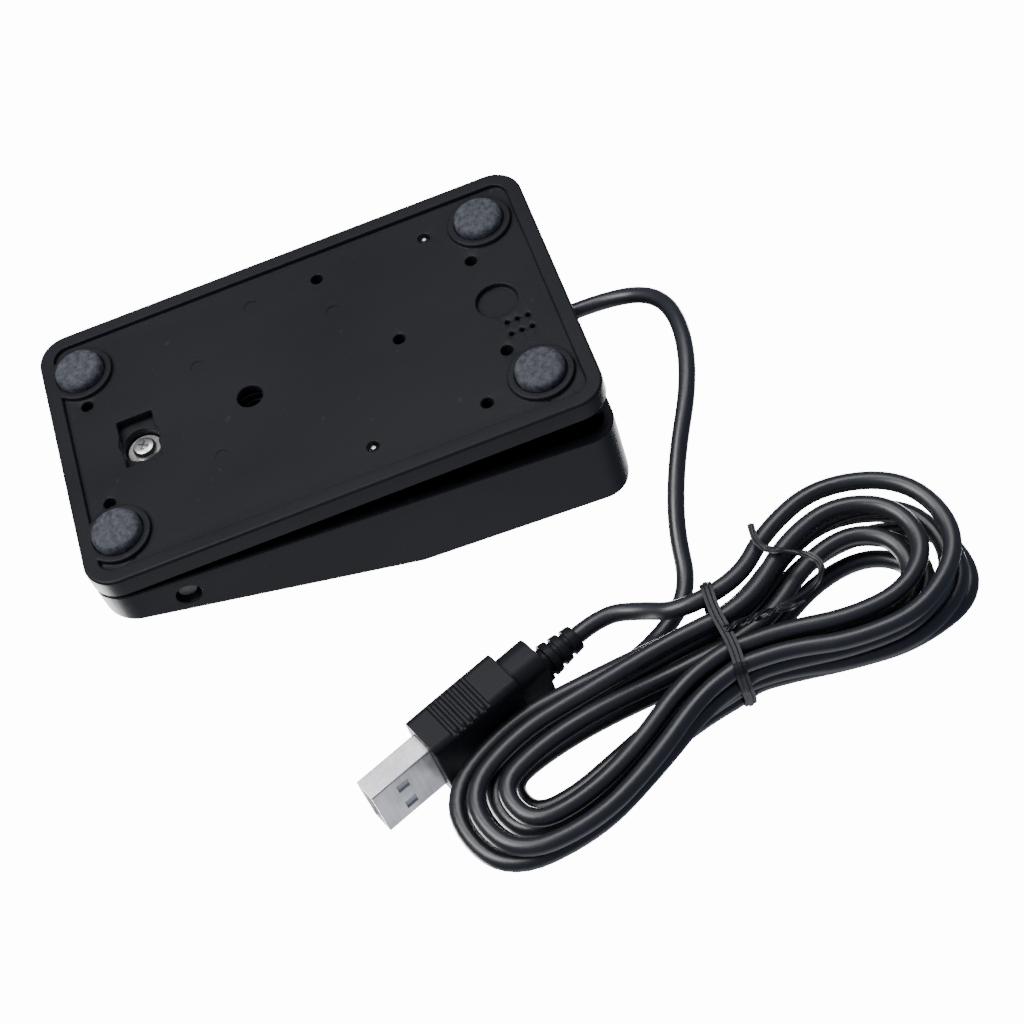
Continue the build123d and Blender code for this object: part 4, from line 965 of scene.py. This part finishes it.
class PEDAL_OT_hinge(bpy.types.Operator):
    """Hinge block, axle, and the screw and washer seen in the tray's window"""

    bl_idname = "pedal.hinge"
    bl_label = "Hinge"

    def execute(self, context):
        sizes = context.scene.pedal_sizes
        softened_copy("hinge_bearing", "hinge_block", "shell_plastic", "base", BLOCK_EDGE)
        dress_node("hinge_axle")
        screw_piece("axle_retaining_screw", "axle_screw", False, *AXLE_SCREW, sizes)
        low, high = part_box("axle_washer")
        outer, inner, soft = (high.x - low.x) / 2, WASHER_BORE, WASHER_EDGE
        thick = high.z - low.z
        bm = bmesh.new()
        lathe(bm, [
            (inner, 0), (outer - soft, 0), (outer, soft), (outer, thick - soft),
            (outer - soft, thick), (inner, thick), (inner, 0),
        ], ((low.x + high.x) / 2, (low.y + high.y) / 2, low.z), steps=56)
        bmesh.ops.recalc_face_normals(bm, faces=bm.faces)
        settle(bm, "washer_ring", "screw_steel", "base", ("axle_washer",), crease=30.0)
        return {"FINISHED"}


class PEDAL_OT_screws(bpy.types.Operator):
    """Screws driven down into the tray's posts"""

    bl_idname = "pedal.screws"
    bl_label = "Screws"

    def execute(self, context):
        sizes = context.scene.pedal_sizes
        for group, slot, tip_back in (
                ("heel", "pin_steel", HEEL_TIP_BACK), ("carrier", "screw_steel", 0.0),
                ("board", "screw_steel", 0.0)):
            for side in ("left", "right"):
                screw_piece(
                    f"{group}_post_screw_{side}", f"{group}_screw_{side}", True, *POST_SCREW,
                    sizes, slot, tip_back)
        for side in ("left", "right"):
            screw_piece(
                f"clamp_bar_screw_{side}", f"clamp_screw_{side}", True, *CLAMP_SCREW, sizes)
        return {"FINISHED"}


class PEDAL_OT_spring(bpy.types.Operator):
    """Return spring, which on the real pedal closes up as the pedal goes down; this piece keeps the
    node's one shape
    """

    bl_idname = "pedal.spring"
    bl_label = "Spring"

    def execute(self, context):
        bm = bmesh.new()
        bm.from_mesh(nodes["return_spring"].data)
        bmesh.ops.remove_doubles(bm, verts=bm.verts, dist=SAME_POINT)
        piece = settle(
            bm, "pedal_spring", "spring_steel", "base", ("return_spring",), crease=60.0)
        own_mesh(piece)
        return {"FINISHED"}


class PEDAL_OT_switch(bpy.types.Operator):
    """Snap switch on its carrier plate"""

    bl_idname = "pedal.switch"
    bl_label = "Switch"

    def execute(self, context):
        softened_copy("carrier_moulding", "switch_carrier", "shell_plastic", "base", BLOCK_EDGE)
        softened_copy("switch_case", "switch_body", "switch_plastic", "base", CASE_EDGE)
        for name in nodes:
            if name.startswith("switch_") and name not in ("switch_carrier", "switch_body"):
                dress_node(name)
        return {"FINISHED"}


class PEDAL_OT_board(bpy.types.Operator):
    """Circuit board, its parts, the cord clamp and the cord's cores"""

    bl_idname = "pedal.board"
    bl_label = "Board and clamp"

    def execute(self, context):
        for name in ("circuit_board", "usb_chip", "crystal", "capacitor", "solder_header",
                     "cord_inner", "cord_core_1", "cord_core_2", "cord_core_3", "cord_core_4"):
            dress_node(name)
        softened_copy("clamp_bar", "cord_clamp", "shell_plastic", "base", BLOCK_EDGE)
        return {"FINISHED"}


# The camera's place, and which way its picture's right, its picture's foot and its view run
CAMERA_PLACE = Vector((-0.26166528, 0.02667333, -0.29194214))
CAMERA_RIGHT = Vector((-0.28747342, 0.93412395, 0.21159274))
CAMERA_DOWN = Vector((-0.75560258, -0.35694326, 0.54923242))
CAMERA_AHEAD = Vector((0.58857776, -0.00199030, 0.80843816))
SENSOR_WIDTH, NEAREST, FARTHEST = 36.0, 0.01, 20.0
PICTURE_MIDDLE = Vector((-0.035, 0.015, 0.012))
OVER_RIGHT_SHARE = 0.7
FLOOR_HALF, FLOOR_DROP = 6.0, 0.2 * MM
SWEEP_FROM, SWEEP_TO = 0.3, 1.5


def soft_lamp(name, place, size, power):
    """Soft rectangular lamp that looks at the picture's middle."""
    data = bpy.data.lights.new(name, "AREA")
    data.shape = "RECTANGLE"
    data.size, data.size_y = size
    data.energy = power
    lamp = bpy.data.objects.new(name, data)
    lamp.location = place
    lamp.rotation_euler = (PICTURE_MIDDLE - place).to_track_quat("-Z", "Y").to_euler()
    bpy.context.scene.collection.objects.link(lamp)


class PEDAL_OT_studio(bpy.types.Operator):
    """Camera below the object, floor seen from above only, and soft lamps"""

    bl_idname = "pedal.studio"
    bl_label = "Studio"

    def execute(self, context):
        studio = context.scene.pedal_studio
        data = bpy.data.cameras.new("camera")
        data.lens = studio.lens
        data.sensor_width = SENSOR_WIDTH
        data.clip_start = NEAREST
        data.clip_end = FARTHEST
        camera = bpy.data.objects.new("camera", data)
        matrix = Matrix((CAMERA_RIGHT, -CAMERA_DOWN, -CAMERA_AHEAD)).transposed().to_4x4()
        matrix.translation = CAMERA_PLACE
        camera.matrix_world = matrix
        context.scene.collection.objects.link(camera)
        context.scene.camera = camera

        middle, right, up, toward = PICTURE_MIDDLE, CAMERA_RIGHT, -CAMERA_DOWN, -CAMERA_AHEAD
        for name, place, size, power in (
                ("key", middle + up * 0.25 + toward * 0.5 - right * 0.5, (0.45, 0.45), studio.key),
                ("fill", middle + up * 0.6 + toward * 0.4 - right * 0.1, (0.5, 0.3), studio.fill),
                ("side", middle + Vector((-0.47, -0.05, 0.62)), (0.9, 0.9), studio.side),
                ("over_left", Vector((0.15, -0.6, 0.6)), (0.5, 0.5), studio.top),
                ("over_right", Vector((0.5, 0.3, 0.6)), (0.5, 0.5),
                 studio.top * OVER_RIGHT_SHARE)):
            soft_lamp(name, place, size, power)

        world = bpy.data.worlds.new("room")
        context.scene.world = world
        world.use_nodes = True
        tree = world.node_tree
        tree.nodes.clear()
        seen = add_node(tree, "ShaderNodeLightPath").outputs["Is Camera Ray"]
        plain = add_node(
            tree, "ShaderNodeBackground",
            {"Color": (*studio.room_tone, 1), "Strength": studio.room})
        white = add_node(
            tree, "ShaderNodeBackground", {"Color": (1, 1, 1, 1), "Strength": studio.backdrop})
        mixed = add_node(
            tree, "ShaderNodeMixShader", {0: seen, 1: plain.outputs[0], 2: white.outputs[0]})
        output = add_node(tree, "ShaderNodeOutputWorld")
        tree.links.new(mixed.outputs[0], output.inputs["Surface"])

        bm = bmesh.new()
        bmesh.ops.create_grid(bm, x_segments=1, y_segments=1, size=FLOOR_HALF)
        bmesh.ops.translate(bm, vec=(0, 0, -FLOOR_DROP), verts=bm.verts)
        mesh = bpy.data.meshes.new("floor")
        bm.to_mesh(mesh)
        bm.free()
        floor = bpy.data.objects.new("floor", mesh)
        context.scene.collection.objects.link(floor)
        paper = bpy.data.materials.new("floor_paper")
        paper.use_nodes = True
        tree = paper.node_tree
        tree.nodes.clear()
        back = add_node(tree, "ShaderNodeNewGeometry").outputs["Backfacing"]
        matt = add_node(tree, "ShaderNodeBsdfDiffuse", {"Color": (*studio.floor_tone, 1)})
        place = add_node(tree, "ShaderNodeTexCoord").outputs["Object"]
        distance = add_node(
            tree, "ShaderNodeVectorMath", {0: place}, operation="LENGTH").outputs["Value"]
        sweep = add_node(
            tree, "ShaderNodeMapRange",
            {"Value": distance, "From Min": SWEEP_FROM, "From Max": SWEEP_TO,
             "To Min": studio.floor_glow, "To Max": studio.backdrop},
            interpolation_type="SMOOTHERSTEP").outputs["Result"]
        glow = add_node(tree, "ShaderNodeEmission", {"Strength": sweep})
        paper_mix = add_node(tree, "ShaderNodeAddShader", {0: matt.outputs[0], 1: glow.outputs[0]})
        clear = add_node(tree, "ShaderNodeBsdfTransparent")
        mixed = add_node(
            tree, "ShaderNodeMixShader", {0: back, 1: paper_mix.outputs[0], 2: clear.outputs[0]})
        output = add_node(tree, "ShaderNodeOutputMaterial")
        tree.links.new(mixed.outputs[0], output.inputs["Surface"])
        mesh.materials.append(paper)
        floor.visible_shadow = False
        floor.visible_diffuse = False
        floor.visible_glossy = False
        floor.visible_transmission = False
        return {"FINISHED"}


class PEDAL_PT_panel(bpy.types.Panel):
    """Lists the pieces and their settings"""

    bl_idname = "PEDAL_PT_panel"
    bl_label = "Foot pedal"
    bl_space_type = "VIEW_3D"
    bl_region_type = "UI"
    bl_category = "Foot pedal"

    def draw(self, context):
        column = self.layout.column()
        for step in STEPS:
            column.operator(step.bl_idname)
        for group in (context.scene.pedal_sizes, context.scene.pedal_colours,
                      context.scene.pedal_cord, context.scene.pedal_studio):
            for name in group.__annotations__:
                column.prop(group, name)


STEPS = (
    PEDAL_OT_studio, PEDAL_OT_cord, PEDAL_OT_twist_tie, PEDAL_OT_plug, PEDAL_OT_tray,
    PEDAL_OT_feet, PEDAL_OT_pedal, PEDAL_OT_hinge, PEDAL_OT_screws, PEDAL_OT_spring,
    PEDAL_OT_switch, PEDAL_OT_board,
)
GROUPS = (
    (PedalSizes, "pedal_sizes"), (PedalColours, "pedal_colours"),
    (CordShape, "pedal_cord"), (StudioSettings, "pedal_studio"),
)


def register():
    for group, name in GROUPS:
        bpy.utils.register_class(group)
        setattr(bpy.types.Scene, name, PointerProperty(type=group))
    for step in STEPS:
        bpy.utils.register_class(step)
    bpy.utils.register_class(PEDAL_PT_panel)


def unregister():
    bpy.utils.unregister_class(PEDAL_PT_panel)
    for step in reversed(STEPS):
        bpy.utils.unregister_class(step)
    for group, name in reversed(GROUPS):
        delattr(bpy.types.Scene, name)
        bpy.utils.unregister_class(group)


def main():
    register()
    make_finishes(bpy.context.scene.pedal_colours)
    for step in STEPS:
        group, name = step.bl_idname.split(".")
        if getattr(getattr(bpy.ops, group), name)() != {"FINISHED"}:
            raise RuntimeError(step.bl_label + " could not be made")


if __name__ == "__main__":
    main()
